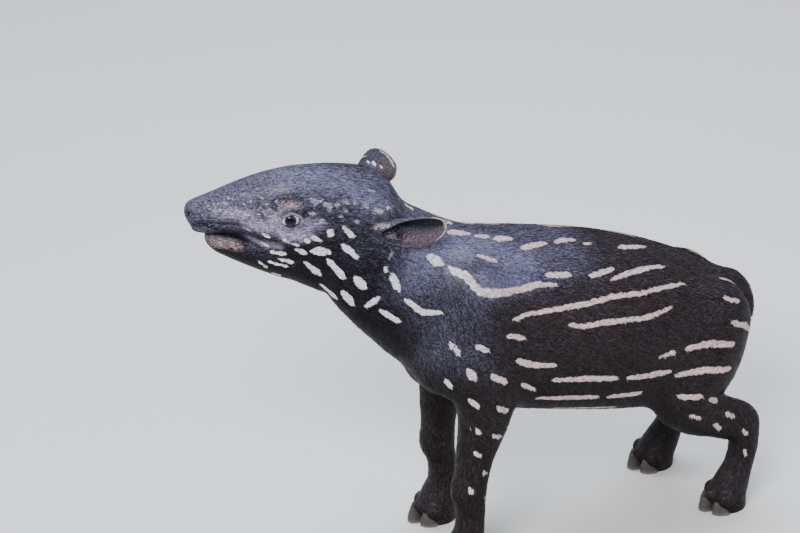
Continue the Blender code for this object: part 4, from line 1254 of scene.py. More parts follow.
def coat_lie(points, normals, local, ears):
    """The way the hair lies on each point of the skin."""
    to_world = np.array(head_matrix().to_3x3())
    on_head = smooth_step(local[:, 0], -0.030, 0.010) * smooth_step(points[:, 2], 0.33, 0.37)
    below = smooth_step(-local[:, 2], 0.05, 0.13)
    head_way = level_way(-1, -0.15 - 0.35 * below) @ to_world.T
    slope = 0.25 + 0.55 * smooth_step(np.abs(normals[:, 1]), 0.4, 0.95)
    leg_way = level_way(0.22, -np.ones(len(points)))
    way = blended(level_way(1, -slope), leg_way, smooth_step(-points[:, 2], -0.21, -0.15))
    chest = smooth_step(-points[:, 0], 0.09, 0.14) * (1 - on_head)
    down = smooth_step(-points[:, 2], -0.33, -0.20)
    way = way + level_way(0, -0.9 * chest - 0.2 * down)
    way = blended(way, head_way, on_head)
    way = blended(way, ears["along"], ears["on_ear"])
    way -= normals * np.sum(way * normals, axis=1)[:, None]
    return way / np.maximum(np.linalg.norm(way, axis=1), 1e-6)[:, None]


class Wire:
    """A value in a material's nodes, with Python's operators."""

    def __init__(self, look, socket):
        self.look = look
        self.socket = socket

    def math(self, operation, *others, first=None):
        values = (self, *others) if first is None else (first, self)
        return self.look.node("ShaderNodeMath", {"operation": operation}, dict(enumerate(values)))

    def __add__(self, other):
        return self.math("ADD", other)

    __radd__ = __add__

    def __sub__(self, other):
        return self.math("SUBTRACT", other)

    def __rsub__(self, other):
        return self.math("SUBTRACT", first=other)

    def __mul__(self, other):
        return self.math("MULTIPLY", other)

    __rmul__ = __mul__

    def clipped(self):
        return self.look.node("ShaderNodeClamp", {}, {0: self})

    def stepped(self, start, end):
        """0 below start and 1 above end, with a smooth rise."""
        settings = {"interpolation_type": "SMOOTHSTEP"}
        return self.look.node("ShaderNodeMapRange", settings, {0: self, 1: start, 2: end})


class Look:
    """A material under construction."""

    def __init__(self, name):
        self.material = bpy.data.materials.new(name)
        self.material.use_nodes = True
        self.tree = self.material.node_tree
        self.shader = self.tree.nodes["Principled BSDF"]

    def node(self, kind, settings, sockets, output=0):
        """Adds a node, gives it its settings and then its sockets' values or links."""
        made = self.tree.nodes.new(kind)
        for name, value in settings.items():
            setattr(made, name, value)
        for name, value in sockets.items():
            if isinstance(value, Wire):
                self.tree.links.new(value.socket, made.inputs[name])
            else:
                made.inputs[name].default_value = value
        return Wire(self, made.outputs[output])

    def place(self):
        return self.node("ShaderNodeTexCoord", {}, {}, "Object")

    def attribute(self, name, output="Fac"):
        return self.node("ShaderNodeAttribute", {"attribute_name": name}, {}, output)

    def mapped(self, vector, turn=(0, 0, 0), scale=(1, 1, 1)):
        return self.node("ShaderNodeMapping", {}, {"Vector": vector, "Rotation": turn, "Scale": scale})

    def noise(self, vector, scale, detail=2.0):
        return self.node("ShaderNodeTexNoise", {}, {"Vector": vector, "Scale": scale, "Detail": detail})

    def mix(self, share, first, second):
        """A colour between two, by a share from 0 to 1."""
        settings = {"data_type": "RGBA"}
        return self.node("ShaderNodeMix", settings, {"Factor": share, 6: first, 7: second}, 2)

    def bump(self, height, distance, strength=1.0, normal=None):
        sockets = {"Height": height, "Distance": distance, "Strength": strength}
        if normal is not None:
            sockets["Normal"] = normal
        return self.node("ShaderNodeBump", {}, sockets)

    def wear(self, **values):
        """Sets the shader's own sockets, by names with underscores for spaces."""
        for name, value in values.items():
            socket = self.shader.inputs[name.replace("_", " ").title().replace("Ior", "IOR")]
            if isinstance(value, Wire):
                self.tree.links.new(value.socket, socket)
            else:
                socket.default_value = value
        return self.material


# Colours of the coat, skin, eyes, hooves and floor, linear
SLATE = (0.0085, 0.0085, 0.0125, 1.0)
# the lit end of the slate coat: painted light and sheen, with paler random tone
SLATE_PALE_AND_LIT = (0.101, 0.091, 0.138, 1.0)
# painted sheen and glints: the wet coat's blue shine
PAINTED_SHEEN_BLUE = (0.31, 0.33, 0.58, 1.0)
CHOCOLATE = (0.0095, 0.0058, 0.0056, 1.0)
# the lit end of the brown coat: painted light, with paler random tone
CHOCOLATE_PALE_AND_LIT = (0.052, 0.034, 0.033, 1.0)
# near black: painted shade in hollows, creases and the ears' depths, and the darkest hair
NEAR_BLACK = (0.0022, 0.0019, 0.0024, 1.0)
MARK_WHITE = (0.97, 0.95, 1.00, 1.0)
MARK_PINK = (0.88, 0.67, 0.65, 1.0)
ROSE = (0.48, 0.335, 0.330, 1.0)
MAUVE = (0.530, 0.450, 0.660, 1.0)
LID_PINK = (0.36, 0.27, 0.31, 1.0)
FLECK = (0.56, 0.55, 0.66, 1.0)
EAR_PINK = (0.150, 0.105, 0.118, 1.0)
RIM_CREAM = (0.72, 0.62, 0.56, 1.0)
PUPIL = (0.0010, 0.0010, 0.0014, 1.0)
IRIS = ((0.0040, 0.0072, 0.0160, 1.0), (0.018, 0.028, 0.055, 1.0))
IRIS_EDGE = (0.032, 0.062, 0.120, 1.0)
EYE_WHITE = (0.60, 0.66, 0.80, 1.0)
EYE_VEIN = (0.30, 0.12, 0.11, 1.0)
# painted shadow of the upper lid on the eye's top
LID_SHADOW = (0.006, 0.005, 0.007, 1.0)
HORN = ((0.022, 0.018, 0.017, 1.0), (0.080, 0.066, 0.058, 1.0))
WORN_HORN = (0.26, 0.22, 0.18, 1.0)
FLOOR = ((0.80, 0.79, 0.77, 1.0), (0.74, 0.73, 0.71, 1.0))


def strand_noise(look, place, fineness, detail=2.0):
    """Fine lines along the coat's lie, from three stretched noises joined by region."""
    head = look.attribute("head_part")
    leg = look.attribute("leg_part")
    turned = look.mapped(place, (0, 0, HEAD_YAW), (1, 1, 1))
    on_head = look.noise(look.mapped(turned, (0, 0, 0), (0.24, 1, 0.9)), fineness, detail)
    on_body = look.noise(look.mapped(place, (0, math.radians(-24), 0), (0.27, 1, 1)), fineness, detail)
    on_leg = look.noise(look.mapped(place, (0, 0, 0), (1, 1, 0.25)), fineness, detail)
    body = on_head * head + on_body * (1 - head)
    return on_leg * leg + body * (1 - leg)


def coat_colour(look, place, tone):
    """The coat's colour with its markings, painted light, sheen and shade, the same on skin and hair."""
    value = look.attribute
    broad = look.noise(place, 16.0, 3.0)
    patch = look.noise(place, 75.0, 3.0)
    scallop = look.noise(place, 165.0, 2.0)
    mottle = look.noise(place, 420.0, 3.0)
    sheen = value("sheen").stepped(-1.3, 0.6)
    # painted light and sheen, with random tone, lift the coat towards its lit colours
    lift = (value("light") + sheen * 0.42 + (broad - 0.5) * 0.40 + (tone - 0.5) * 0.85).clipped()
    grey = look.mix(lift, SLATE, SLATE_PALE_AND_LIT)
    # painted sheen: bluer where the wet coat shines
    slate = look.mix((sheen * (0.05 + 0.45 * tone)).clipped(), grey, PAINTED_SHEEN_BLUE)
    chocolate = look.mix((lift * 0.8 + (patch - 0.5) * 0.5).clipped(), CHOCOLATE, CHOCOLATE_PALE_AND_LIT)
    brown = (value("brown") + (broad - 0.5) * 0.35).clipped()
    pale = value("pale").stepped(-1.1, 0.5) * (0.35 + 0.9 * patch) * (0.55 + 0.9 * tone)
    thin = value("rosy").stepped(-0.9, 0.5) * mottle.stepped(0.26, 0.60)
    cream = (value("cream") + (mottle - 0.5) * 0.8).stepped(-0.6, 0.4)
    fringe = (strand_noise(look, place, 420.0, 1.0) - 0.5) * 0.45 + (mottle - 0.5) * 0.12
    ragged = fringe + (scallop - 0.5) * 1.35
    faint = (value("faint_mark") + ragged * 1.6).stepped(-0.30, 0.50)
    dots = (value("dots") + fringe).stepped(-0.30, 0.30)
    mark = (value("mark") + ragged).stepped(-0.20, 0.20)
    white = look.mix(value("warm"), MARK_WHITE, MARK_PINK)
    # painted shade, the ears' painted shadow and the painted crease lines go on in near black
    layers = (
        (value("shade") * 0.94, NEAR_BLACK),
        ((pale * 0.80).clipped(), MAUVE),
        ((thin * (0.45 + 0.45 * tone)).clipped(), ROSE),
        ((value("bare") * (0.75 + 0.5 * patch)).clipped(), LID_PINK),
        ((value("ear_inside") * (0.55 + 0.8 * tone)).clipped(), EAR_PINK),
        (value("ear_shadow"), NEAR_BLACK),
        ((value("ear_rim") * (0.5 + 0.9 * patch)).clipped(), RIM_CREAM),
        (value("fold_shade_line").stepped(-1.2, 0.6) * 0.85, NEAR_BLACK),
        (cream * 0.85, RIM_CREAM),
        (faint * (0.30 + 0.40 * tone), FLECK),
        (dots * (0.50 + 0.40 * tone), FLECK),
        (mark * (0.90 + 0.10 * tone), white),
    )
    colour = look.mix(brown, slate, chocolate)
    for share, over in layers:
        colour = look.mix(share, colour, over)
    return colour


def wetness(look):
    """How much of the clear film shows, most where the coat shines."""
    sheen = look.attribute("sheen").stepped(-1.3, 0.6)
    dull = (look.attribute("shade") + look.attribute("bare") + look.attribute("ear_inside")).clipped()
    wet = (0.05 + look.attribute("light") * 0.26 + sheen * 0.40).clipped()
    wet = wet * (1 - dull * 0.92) * (1 - look.attribute("brown") * 0.55)
    return wet * (1 - look.attribute("head_part") * 0.6)


def skin_look():
    look = Look("coat_and_skin")
    place = look.place()
    strands = strand_noise(look, place, 620.0)
    fine = strand_noise(look, place, 1500.0, 1.0)
    pores = look.noise(place, 1300.0, 2.0)
    tone = ((strands - 0.5) * 2.2 + 0.5).clipped()
    colour = coat_colour(look, place, tone)
    dark_roots = look.mix((1 - (strands * 0.5 + fine * 0.5).stepped(0.40, 0.57)) * 0.72, colour, NEAR_BLACK)
    # painted glints: fine pale blue flecks where the painted light falls
    glint = fine.stepped(0.54, 0.70) * look.attribute("light") * (1 - look.attribute("brown") * 0.6)
    lit = look.mix(glint * 0.60, dark_roots, PAINTED_SHEEN_BLUE)
    hair = look.bump(strands + fine * 0.6, 0.0008, 0.95)
    skin = look.bump(pores, 0.00025, 0.6, hair)
    return look.wear(
        base_color=lit, roughness=0.55 - 0.18 * fine, normal=skin, coat_weight=wetness(look),
        coat_roughness=0.30, specular_ior_level=0.09,
    )


def hair_look():
    look = Look("hair")
    place = look.place()
    reach = look.attribute("reach")
    tone = look.attribute("tone")
    colour = coat_colour(look, place, tone)
    rooted = look.mix((1 - reach) * 0.45, colour, NEAR_BLACK)
    # painted glints on the tufts where the painted light falls
    glint = tone.stepped(0.66, 0.95) * look.attribute("light") * (1 - look.attribute("brown") * 0.6)
    lit = look.mix(glint * 0.40, rooted, PAINTED_SHEEN_BLUE)
    return look.wear(
        base_color=lit, roughness=0.50 - 0.16 * tone, coat_weight=wetness(look) * 0.7, coat_roughness=0.34,
        specular_ior_level=0.09,
    )


def eye_look():
    """A near-black eye with a slate iris, a pale ring at its edge, a wet clear front and a painted shadow of
    the upper lid across its top.
    """
    look = Look("eye")
    gaze = look.attribute("gaze", "Vector")
    from_middle = look.node("ShaderNodeVectorMath", {"operation": "LENGTH"}, {0: gaze}, "Value")
    rays = look.noise(gaze, 9.0, 4.0)
    iris = look.mix(rays, *IRIS)
    flat = look.mapped(gaze, (0, 0, 0), (0.72, 1.0, 1.0))
    from_slit = look.node("ShaderNodeVectorMath", {"operation": "LENGTH"}, {0: flat}, "Value")
    inner = look.mix(from_slit.stepped(0.28, 0.34), PUPIL, iris)
    limbus = look.mix(from_middle.stepped(0.58, 0.65), inner, IRIS_EDGE)
    white = look.mix(from_middle.stepped(0.635, 0.69), limbus, EYE_WHITE)
    veins = look.noise(look.mapped(gaze, (0, 0, 0.4), (1.0, 2.4, 1.0)), 14.0, 4.0)
    veined = look.mix((from_middle.stepped(0.85, 1.10) * veins).clipped(), white, EYE_VEIN)
    rise = look.node("ShaderNodeSeparateXYZ", {}, {0: gaze}, "Y")
    # painted shadow of the upper lid
    shaded = look.mix(rise.stepped(0.36, 0.47), veined, LID_SHADOW)
    return look.wear(
        base_color=shaded, roughness=0.22, specular_ior_level=0.10, coat_weight=0.45,
        coat_roughness=0.02, coat_ior=1.34,
    )


def horn_look():
    look = Look("hoof_horn")
    place = look.place()
    grain = look.noise(look.mapped(place, (0, 0, 0), (1, 1, 0.16)), 900.0, 3.0)
    rings = look.noise(look.mapped(place, (0, 0, 0), (0.1, 0.1, 1)), 520.0, 2.0)
    worn = look.noise(place, 160.0, 3.0)
    base = look.mix(grain, *HORN)
    height = look.node("ShaderNodeSeparateXYZ", {}, {0: place}, "Z")
    edge = (1 - height.stepped(0.0005, 0.0060)) * worn
    colour = look.mix(edge * 0.8, base, WORN_HORN)
    normal = look.bump(rings + grain * 0.4, 0.0005, 0.7)
    return look.wear(base_color=colour, roughness=0.34 + 0.25 * grain, normal=normal)


def floor_look():
    look = Look("floor")
    grain = look.noise(look.place(), 4.0, 3.0)
    colour = look.mix(grain * 0.3, *FLOOR)
    return look.wear(base_color=colour, roughness=0.75)


class SkinPoints:
    """The skin's points, in the shared frame, the forms' frame and the head's (local)."""

    def __init__(self, mesh, ears):
        self.mesh = mesh
        self.ears = ears
        self.points, self.normals = places_of(mesh), normals_of(mesh)
        self.forms = self.points - np.array(PLACE)
        self.local = moved(self.forms, head_matrix().inverted())
        before_neck = smooth_step(self.local[:, 0], -0.020, 0.010)
        self.on_head = before_neck * smooth_step(self.forms[:, 2], 0.34, 0.38)
        self.ear_inside = ears["inside"] * ears["on_ear"]
        self.far_ear = ears["on_ear"] * (1 - ears["left"])
        self.far_back = self.far_ear * (1 - ears["inside"])
        brown_side = smooth_step(-ears["arc"], -0.25, 0.45) * (1 - smooth_step(ears["share"], 0.70, 0.95))
        self.ear_brown = self.far_back * brown_side

    def store(self, name, values, kind="FLOAT"):
        store(self.mesh, name, values, kind)


def finer_skin(body, strokes, ears, values):
    """Makes faces smaller where markings end, and gives the values again for the points there."""
    mesh = body.data
    for name, value in (*ears.items(), *values.items()):
        store(mesh, "skin_" + name, value, "FLOAT_VECTOR" if np.ndim(value) == 2 else "FLOAT")
    finer_at_marks(body, strokes, PAINTS["mark"][1])
    ears = {name: kept(mesh, "skin_" + name, 3 if name == "along" else 1) for name in ears}
    values = {name: kept(mesh, "skin_" + name) for name in values}
    for name in (*ears, *values):
        mesh.attributes.remove(mesh.attributes["skin_" + name])
    return ears, values


def store_paints(skin, paint):
    """Every kind of paint, and how fast the crisp ones rise."""
    for kind, (_, unit) in PAINTS.items():
        laid = paint_values(skin.points, paint[kind], unit)
        laid = np.where(skin.ear_inside > 0.3, -2.0, laid)
        skin.store(kind, laid)
        if kind in CRISP_PAINTS:
            skin.store(kind + "_slope", slope_of(skin.mesh, laid), "FLOAT_VECTOR")


def store_ground(skin):
    """The brown parts of the coat, and the painted light on it."""
    x, _, z = skin.forms.T
    ahead, _, rise = skin.local.T
    skin.store("head_part", skin.on_head)
    skin.store("leg_part", smooth_step(-z, -0.20, -0.15))
    rear = smooth_step(x - 0.35 * (z - 0.30), -0.045, 0.030)
    flank = 0.92 * smooth_step(-z, -0.393, -0.370) * smooth_step(x, -0.155, -0.100)
    low = smooth_step(-z, -0.325, -0.260)
    skin.store("brown", np.clip(np.max([rear, flank, low, skin.ear_brown], axis=0), 0, 1))
    # painted light: lighter where the skin faces up, on the snout and the nape, less on the crown and the
    # far ear's back
    up = smooth_step(skin.normals[:, 2], -0.45, 0.75)
    snout = smooth_step(ahead, 0.045, 0.150) * smooth_step(rise, -0.095, -0.050)
    crown = skin.on_head * (1 - smooth_step(ahead, 0.030, 0.110))
    nape = (1 - skin.on_head) * smooth_step(z, 0.385, 0.420) * smooth_step(-x, 0.130, 0.190)
    light = np.clip(0.06 + 0.50 * up + 0.34 * snout + 0.18 * nape, 0, 1)
    skin.store("light", light * (1 - 0.45 * skin.far_back) * (1 - 0.25 * crown))


def store_hollows(skin, values):
    """Painted shade in the hollows and creases, under the jaw and the belly, round the eyes and in the
    nostrils, then the bare lids; gives the lids and the nostrils.
    """
    ahead, _, rise = skin.local.T
    z = skin.forms[:, 2]
    on_ear = skin.ears["on_ear"]
    # painted shade under the cheeks and behind the jaw
    cheek = smooth_step(-rise, 0.058, 0.090) * smooth_step(-ahead, -0.135, -0.085)
    jowl = smooth_step(ahead, -0.060, -0.020) * smooth_step(-z, -0.485, -0.450)
    throat = np.maximum(skin.on_head * cheek, 0.9 * jowl * (z > 0.30))
    # painted shade where the skin faces down
    belly = smooth_step(-skin.normals[:, 2], 0.1, 0.7) * 0.6
    ring = values["ring"]
    # painted shade at the lids' edges and in the creases under and over each eye
    below = smooth_step(EYE_PLACE[1] - rise, -0.004, 0.006)
    behind = smooth_step(EYE_PLACE[0] - ahead, -0.006, 0.004)
    under = hump(ring, 1.13, 0.07) * below * (0.65 + 0.35 * behind)
    over = hump(ring, 1.52, 0.07) * (1 - below) * (0.45 + 0.45 * behind)
    socket = under + over
    # painted shade in the nostrils
    pit = np.clip(values["pit"] * 1.5, 0, 1)
    dark = throat * 0.95 + belly + values["crease_shade"] * 0.9 + hump(ring, 1.01, 0.05) + socket + pit
    # painted shade in the hollow at the near ear's root
    shade = np.maximum(np.clip(dark, 0, 1), ear_bowl(skin.points) * (1 - on_ear))
    skin.store("shade", np.clip(shade * (1 - skin.ears["rim"]) * (1 - 0.7 * on_ear), 0, 1))
    fold = smooth_step(ring, 1.02, 1.10) * (1 - smooth_step(ring, 1.34, 1.46))
    lids = fold * ((1 - below) * (0.60 + 0.35 * behind) + 0.25 * below)
    bare = np.clip(lids, 0, 1) * (1 - pit)
    skin.store("bare", bare)
    return bare, pit


def store_ears(skin):
    """The ears' insides, the painted shadow in their depths and under the near ear's upper edge, and their
    pale rims.
    """
    ears = skin.ears
    skin.store("ear_inside", np.maximum(skin.ear_inside, 0.75 * skin.ear_brown))
    # painted shadow under the near ear's overhanging upper edge and deep in each cup
    under_edge = (1 - smooth_step(ears["arc"], -0.20, 0.45)) * ears["left"] * (1 - ears["rim"])
    deep = 1 - smooth_step(ears["share"], 0.04, 0.30)
    skin.store("ear_shadow", skin.ear_inside * np.clip(under_edge + 0.8 * deep, 0, 0.97))
    tip = smooth_step(ears["share"], 0.74, 0.93)
    far_rim = skin.far_ear * (1 - smooth_step(ears["arc"], -0.6, 0.3))
    far_rim = far_rim * smooth_step(ears["share"], 0.30, 0.60)
    rim = np.maximum(ears["rim"] * tip, ears["wide_rim"] * far_rim)
    skin.store("ear_rim", rim * ears["on_ear"])


def store_tufts(skin, ring, bare, pit):
    """The size of the tufts at each point, and how many of them grow there."""
    ahead = skin.local[:, 0]
    face = smooth_step(ahead, -0.02, 0.20)
    feet = smooth_step(-skin.forms[:, 2], -0.10, -0.03)
    size = (1.0 - 0.55 * face * skin.on_head) * (1 - 0.45 * feet) * (1 - 0.45 * skin.ears["on_ear"])
    skin.store("tuft_size", size)
    pale = smooth_step(kept(skin.mesh, "pale"), -1.0, 0.6)
    rosy = smooth_step(kept(skin.mesh, "rosy"), -0.6, 0.4)
    thin = 0.45 * pale + 0.85 * rosy
    bald = np.clip((ring < 1.5) * 1.0 + pit + bare * 0.9 + thin + 0.75 * skin.ear_inside, 0, 1)
    bald = np.maximum(bald, (skin.points[:, 2] < 0.004) * 1.0)
    bald = np.maximum(bald, smooth_step(ahead, 0.196, 0.214))
    skin.store("tuft_share", 1 - bald)


def skin_values(body, ears, values, guides):
    """Stores what the looks and the coat read on each point of the skin."""
    paint = painted(body.data, guides)
    ears, values = finer_skin(body, paint["mark"], ears, values)
    skin = SkinPoints(body.data, ears)
    store_paints(skin, paint)
    store_ground(skin)
    bare, pit = store_hollows(skin, values)
    store_ears(skin)
    skin.store("warm", smooth_step(skin.forms[:, 0], -0.215, -0.095))
    skin.store("lie", coat_lie(skin.forms, skin.normals, skin.local, ears), "FLOAT_VECTOR")
    store_tufts(skin, values["ring"], bare, pit)


def skin_parts(centres, local):
    """Names the coat piece that each face of the skin belongs to."""
    names = np.full(len(centres), "", dtype=object)
    left = centres[:, 1] < 0.0
    on_head = (local[:, 0] > HEAD_PIECE[0]) & (centres[:, 2] > HEAD_PIECE[1])
    leg = centres[:, 2] < LEG_PIECE[0]
    fore = centres[:, 0] < LEG_PIECE[1]
    for side, chosen in (("left", left), ("right", ~left)):
        head_side = local[:, 1] > 0 if side == "left" else local[:, 1] <= 0
        names[on_head & head_side] = "coat_head_" + side
        names[~on_head & ~leg & chosen & (centres[:, 0] < NECK_PIECE)] = "coat_neck_" + side
        names[~on_head & ~leg & chosen & (centres[:, 0] >= NECK_PIECE)] = "coat_trunk_" + side
        names[leg & ~on_head & chosen & fore] = "coat_foreleg_" + side
        names[leg & ~on_head & chosen & ~fore] = "coat_hindleg_" + side
    return names


def unwrapped(name, points, local):
    """Each point's place from 0 to 1 on an unrolled map of its own part of the skin."""
    if "head" in name:
        along = (local[:, 0] + 0.10) / 0.34
        angle = np.arctan2(np.abs(local[:, 1]) + 0.004, local[:, 2] + 0.068) / math.pi
    elif "leg" in name:
        leg = name.replace("coat_", "")
        rows = np.array(leg_rows(*LEGS[leg]))
        order = np.argsort(rows[:, 2])
        middle_x = np.interp(points[:, 2], rows[order, 2], rows[order, 0]) + PLACE.x
        middle_y = np.interp(points[:, 2], rows[order, 2], rows[order, 1])
        along = points[:, 2] / 0.19
        side = -1 if "left" in name else 1
        angle = np.arctan2(points[:, 0] - middle_x, (points[:, 1] - middle_y) * side) / (2 * math.pi) + 0.5
    else:
        along = (points[:, 0] + 0.25) / 0.70
        middle_z = np.interp(points[:, 0], (-0.18, -0.05, 0.30), (0.40, 0.31, 0.25))
        angle = np.arctan2(np.abs(points[:, 1]) + 0.002, points[:, 2] - middle_z) / math.pi
    both = np.stack([0.02 + 0.96 * np.clip(along, 0, 1), 0.02 + 0.96 * np.clip(angle, 0, 1)], axis=1)
    return np.insert(both, 2, 0.0, axis=1)


def coat_base(name, mesh, points, local, chosen):
    """The part of the skin that one coat piece grows on, with its values."""
    faces = [tuple(mesh.polygons[k].vertices) for k in chosen]
    used = np.unique(np.concatenate([np.array(face) for face in faces]))
    renumber = np.full(len(points), -1)
    renumber[used] = np.arange(len(used))
    roots = unwrapped(name, points[used], local[used])
    kept_faces = []
    for face in faces:
        row = [int(renumber[v]) for v in face]
        if np.ptp(roots[row, 1]) < 0.5:
            kept_faces.append(row)
    base = bpy.data.meshes.new(name + "_base")
    base.from_pydata(points[used].tolist(), [], kept_faces)
    for value in COAT_VALUES:
        store(base, value, kept(mesh, value)[used])
    for kind in CRISP_PAINTS:
        store(base, kind + "_slope", kept(mesh, kind + "_slope", 3)[used], "FLOAT_VECTOR")
    store(base, "root", roots, "FLOAT_VECTOR")
    store(base, "root_place", points[used], "FLOAT_VECTOR")
    lie = kept(mesh, "lie", 3)[used] + normals_of(mesh)[used] * TUFT_LIFT
    store(base, "lie", lie, "FLOAT_VECTOR")
    store(base, "away", normals_of(mesh)[used], "FLOAT_VECTOR")
    return new_object(name + "_base", base)


def tuft_tree():
    """Geometry nodes that set tufts on a surface along its lie."""
    tree = bpy.data.node_groups.new("tufts", "GeometryNodeTree")
    face = tree.interface
    face.new_socket("Skin", in_out="INPUT", socket_type="NodeSocketGeometry")
    for name in ("Length", "Width", "Gap"):
        face.new_socket(name, in_out="INPUT", socket_type="NodeSocketFloat")
    face.new_socket("Seed", in_out="INPUT", socket_type="NodeSocketInt")
    face.new_socket("Hair", in_out="INPUT", socket_type="NodeSocketMaterial")
    face.new_socket("Coat", in_out="OUTPUT", socket_type="NodeSocketGeometry")
    nodes, links = tree.nodes, tree.links

    def node(kind, settings=None, sockets=None):
        made = nodes.new(kind)
        for key, value in (settings or {}).items():
            setattr(made, key, value)
        for key, value in (sockets or {}).items():
            if isinstance(value, bpy.types.NodeSocket):
                links.new(value, made.inputs[key])
            else:
                made.inputs[key].default_value = value
        return made

    def named(name, kind="FLOAT"):
        return node("GeometryNodeInputNamedAttribute", {"data_type": kind}, {"Name": name}).outputs[0]

    def maths(operation, first, second):
        return node("ShaderNodeMath", {"operation": operation}, {0: first, 1: second}).outputs[0]

    given = node("NodeGroupInput").outputs
    share = named("tuft_share")
    strewn = node(
        "GeometryNodeDistributePointsOnFaces",
        {"distribute_method": "POISSON"},
        {"Mesh": given["Skin"], "Distance Min": given["Gap"], "Density Max": 400000.0,
         "Density Factor": share, "Seed": given["Seed"]},
    )
    chance = node("FunctionNodeRandomValue", {"data_type": "FLOAT"}, {"Seed": given["Seed"]})
    toned = node(
        "GeometryNodeStoreNamedAttribute", {"data_type": "FLOAT", "domain": "POINT"},
        {"Geometry": strewn.outputs["Points"], "Name": "tone", "Value": chance.outputs[1]},
    )
    cone = node(
        "GeometryNodeMeshCone", {"fill_type": "NGON"},
        {"Vertices": 3, "Side Segments": 2, "Radius Top": 0.0, "Radius Bottom": given["Width"],
         "Depth": given["Length"]},
    )
    where = node("GeometryNodeInputPosition").outputs[0]
    parts = node("ShaderNodeSeparateXYZ", None, {0: where}).outputs
    reach = maths("DIVIDE", parts["Z"], given["Length"])
    marked = node(
        "GeometryNodeStoreNamedAttribute", {"data_type": "FLOAT", "domain": "POINT"},
        {"Geometry": cone.outputs["Mesh"], "Name": "reach", "Value": reach},
    )
    bend = maths("MULTIPLY", maths("MULTIPLY", reach, reach), maths("MULTIPLY", given["Length"], -0.10))
    fuller = maths("MULTIPLY", maths("SUBTRACT", 1.0, reach), maths("MULTIPLY", reach, 2.2))
    swell = maths("ADD", 1.0, fuller)
    shape = node(
        "ShaderNodeCombineXYZ", None,
        {0: maths("MULTIPLY", maths("MULTIPLY", parts["X"], swell), 1.25),
         1: maths("ADD", maths("MULTIPLY", parts["Y"], 0.55), bend), 2: parts["Z"]},
    )
    bent = node(
        "GeometryNodeSetPosition", None,
        {"Geometry": marked.outputs[0], "Position": shape.outputs[0]},
    )
    lie = named("lie", "FLOAT_VECTOR")
    sway = node("FunctionNodeRandomValue", {"data_type": "FLOAT_VECTOR"}, {"Seed": given["Seed"]})
    sway.inputs[0].default_value = (-0.16, -0.16, -0.10)
    sway.inputs[1].default_value = (0.16, 0.16, 0.10)
    swayed = node("ShaderNodeVectorMath", {"operation": "ADD"}, {0: lie, 1: sway.outputs[0]}).outputs[0]
    laid = node("FunctionNodeAlignRotationToVector", {"axis": "Z"}, {"Vector": swayed})
    turned = node(
        "FunctionNodeAlignRotationToVector", {"axis": "Y", "pivot_axis": "Z"},
        {"Rotation": laid.outputs[0], "Vector": named("away", "FLOAT_VECTOR")},
    )
    vary = node("FunctionNodeRandomValue", {"data_type": "FLOAT"}, {"Seed": maths("ADD", given["Seed"], 5)})
    vary.inputs[2].default_value = 0.75
    vary.inputs[3].default_value = 1.30
    size = maths("MULTIPLY", named("tuft_size"), vary.outputs[1])
    placed = node(
        "GeometryNodeInstanceOnPoints", None,
        {"Points": toned.outputs[0], "Instance": bent.outputs[0], "Rotation": turned.outputs[0],
         "Scale": size},
    )
    real = node("GeometryNodeRealizeInstances", None, {"Geometry": placed.outputs[0]})
    dressed = node(
        "GeometryNodeSetMaterial", None, {"Geometry": real.outputs[0], "Material": given["Hair"]}
    )
    links.new(dressed.outputs[0], node("NodeGroupOutput").inputs[0])
    return tree


def coat_piece(name, base, tree, seed, hair):
    """One piece of the coat as a plain mesh, with its map for the bake."""
    tufts = base.modifiers.new("tufts", "NODES")
    tufts.node_group = tree
    given = {"Length": TUFT_LENGTH, "Width": TUFT_WIDTH, "Gap": TUFT_GAP, "Seed": seed, "Hair": hair}
    if "head" in name:
        given["Gap"] *= HEAD_TUFTS[0]
        given["Width"] *= HEAD_TUFTS[1]
    for item in tree.interface.items_tree:
        if item.in_out == "INPUT" and item.name in given:
            tufts[item.identifier] = given[item.name]
    graph = bpy.context.evaluated_depsgraph_get()
    mesh = bpy.data.meshes.new_from_object(base.evaluated_get(graph))
    bpy.data.objects.remove(base, do_unlink=True)
    piece = new_object(name, mesh)
    points = places_of(mesh)
    off_root = points - kept(mesh, "root_place", 3)
    for kind in CRISP_PAINTS:
        rise = np.sum(off_root * kept(mesh, kind + "_slope", 3), axis=1)
        layer = mesh.attributes[kind].data
        layer.foreach_set("value", np.clip(kept(mesh, kind) + rise, -2.0, 1.0).astype(np.float32))
    points[:, 2] = np.maximum(points[:, 2], FLOOR_GAP)
    set_places(mesh, points)
    roots = kept(mesh, "root", 3)[:, :2]
    turn = np.tile(np.linspace(0, 2 * math.pi, TUFT_VERTS, endpoint=False), len(roots) // TUFT_VERTS)
    patch = roots + BAKE_RADIUS * np.stack([np.cos(turn), np.sin(turn)], axis=1)
    corner = np.empty(len(mesh.loops), int)
    mesh.loops.foreach_get("vertex_index", corner)
    layer = mesh.uv_layers.new(name="OFBake")
    layer.data.foreach_set("uv", patch[corner].ravel())
    slopes = [kind + "_slope" for kind in CRISP_PAINTS]
    for spare in ("root", "root_place", "lie", "away", "tuft_size", "tuft_share", *slopes):
        if spare in mesh.attributes:
            mesh.attributes.remove(mesh.attributes[spare])
    return piece


def build_coat(skin):
    """All coat pieces over the skin."""
    mesh = skin.data
    points = places_of(mesh)
    local = moved(points - np.array(PLACE), head_matrix().inverted())
    centres = np.empty(len(mesh.polygons) * 3)
    mesh.polygons.foreach_get("center", centres)
    centres = centres.reshape(-1, 3)
    centre_local = moved(centres - np.array(PLACE), head_matrix().inverted())
    names = skin_parts(centres, centre_local)
    tree = tuft_tree()
    hair = hair_look()
    made = []
    for seed, name in enumerate(sorted(set(names)), 1):
        base = coat_base(name, mesh, points, local, np.flatnonzero(names == name))
        made.append(coat_piece(name, base, tree, seed, hair))
    return made


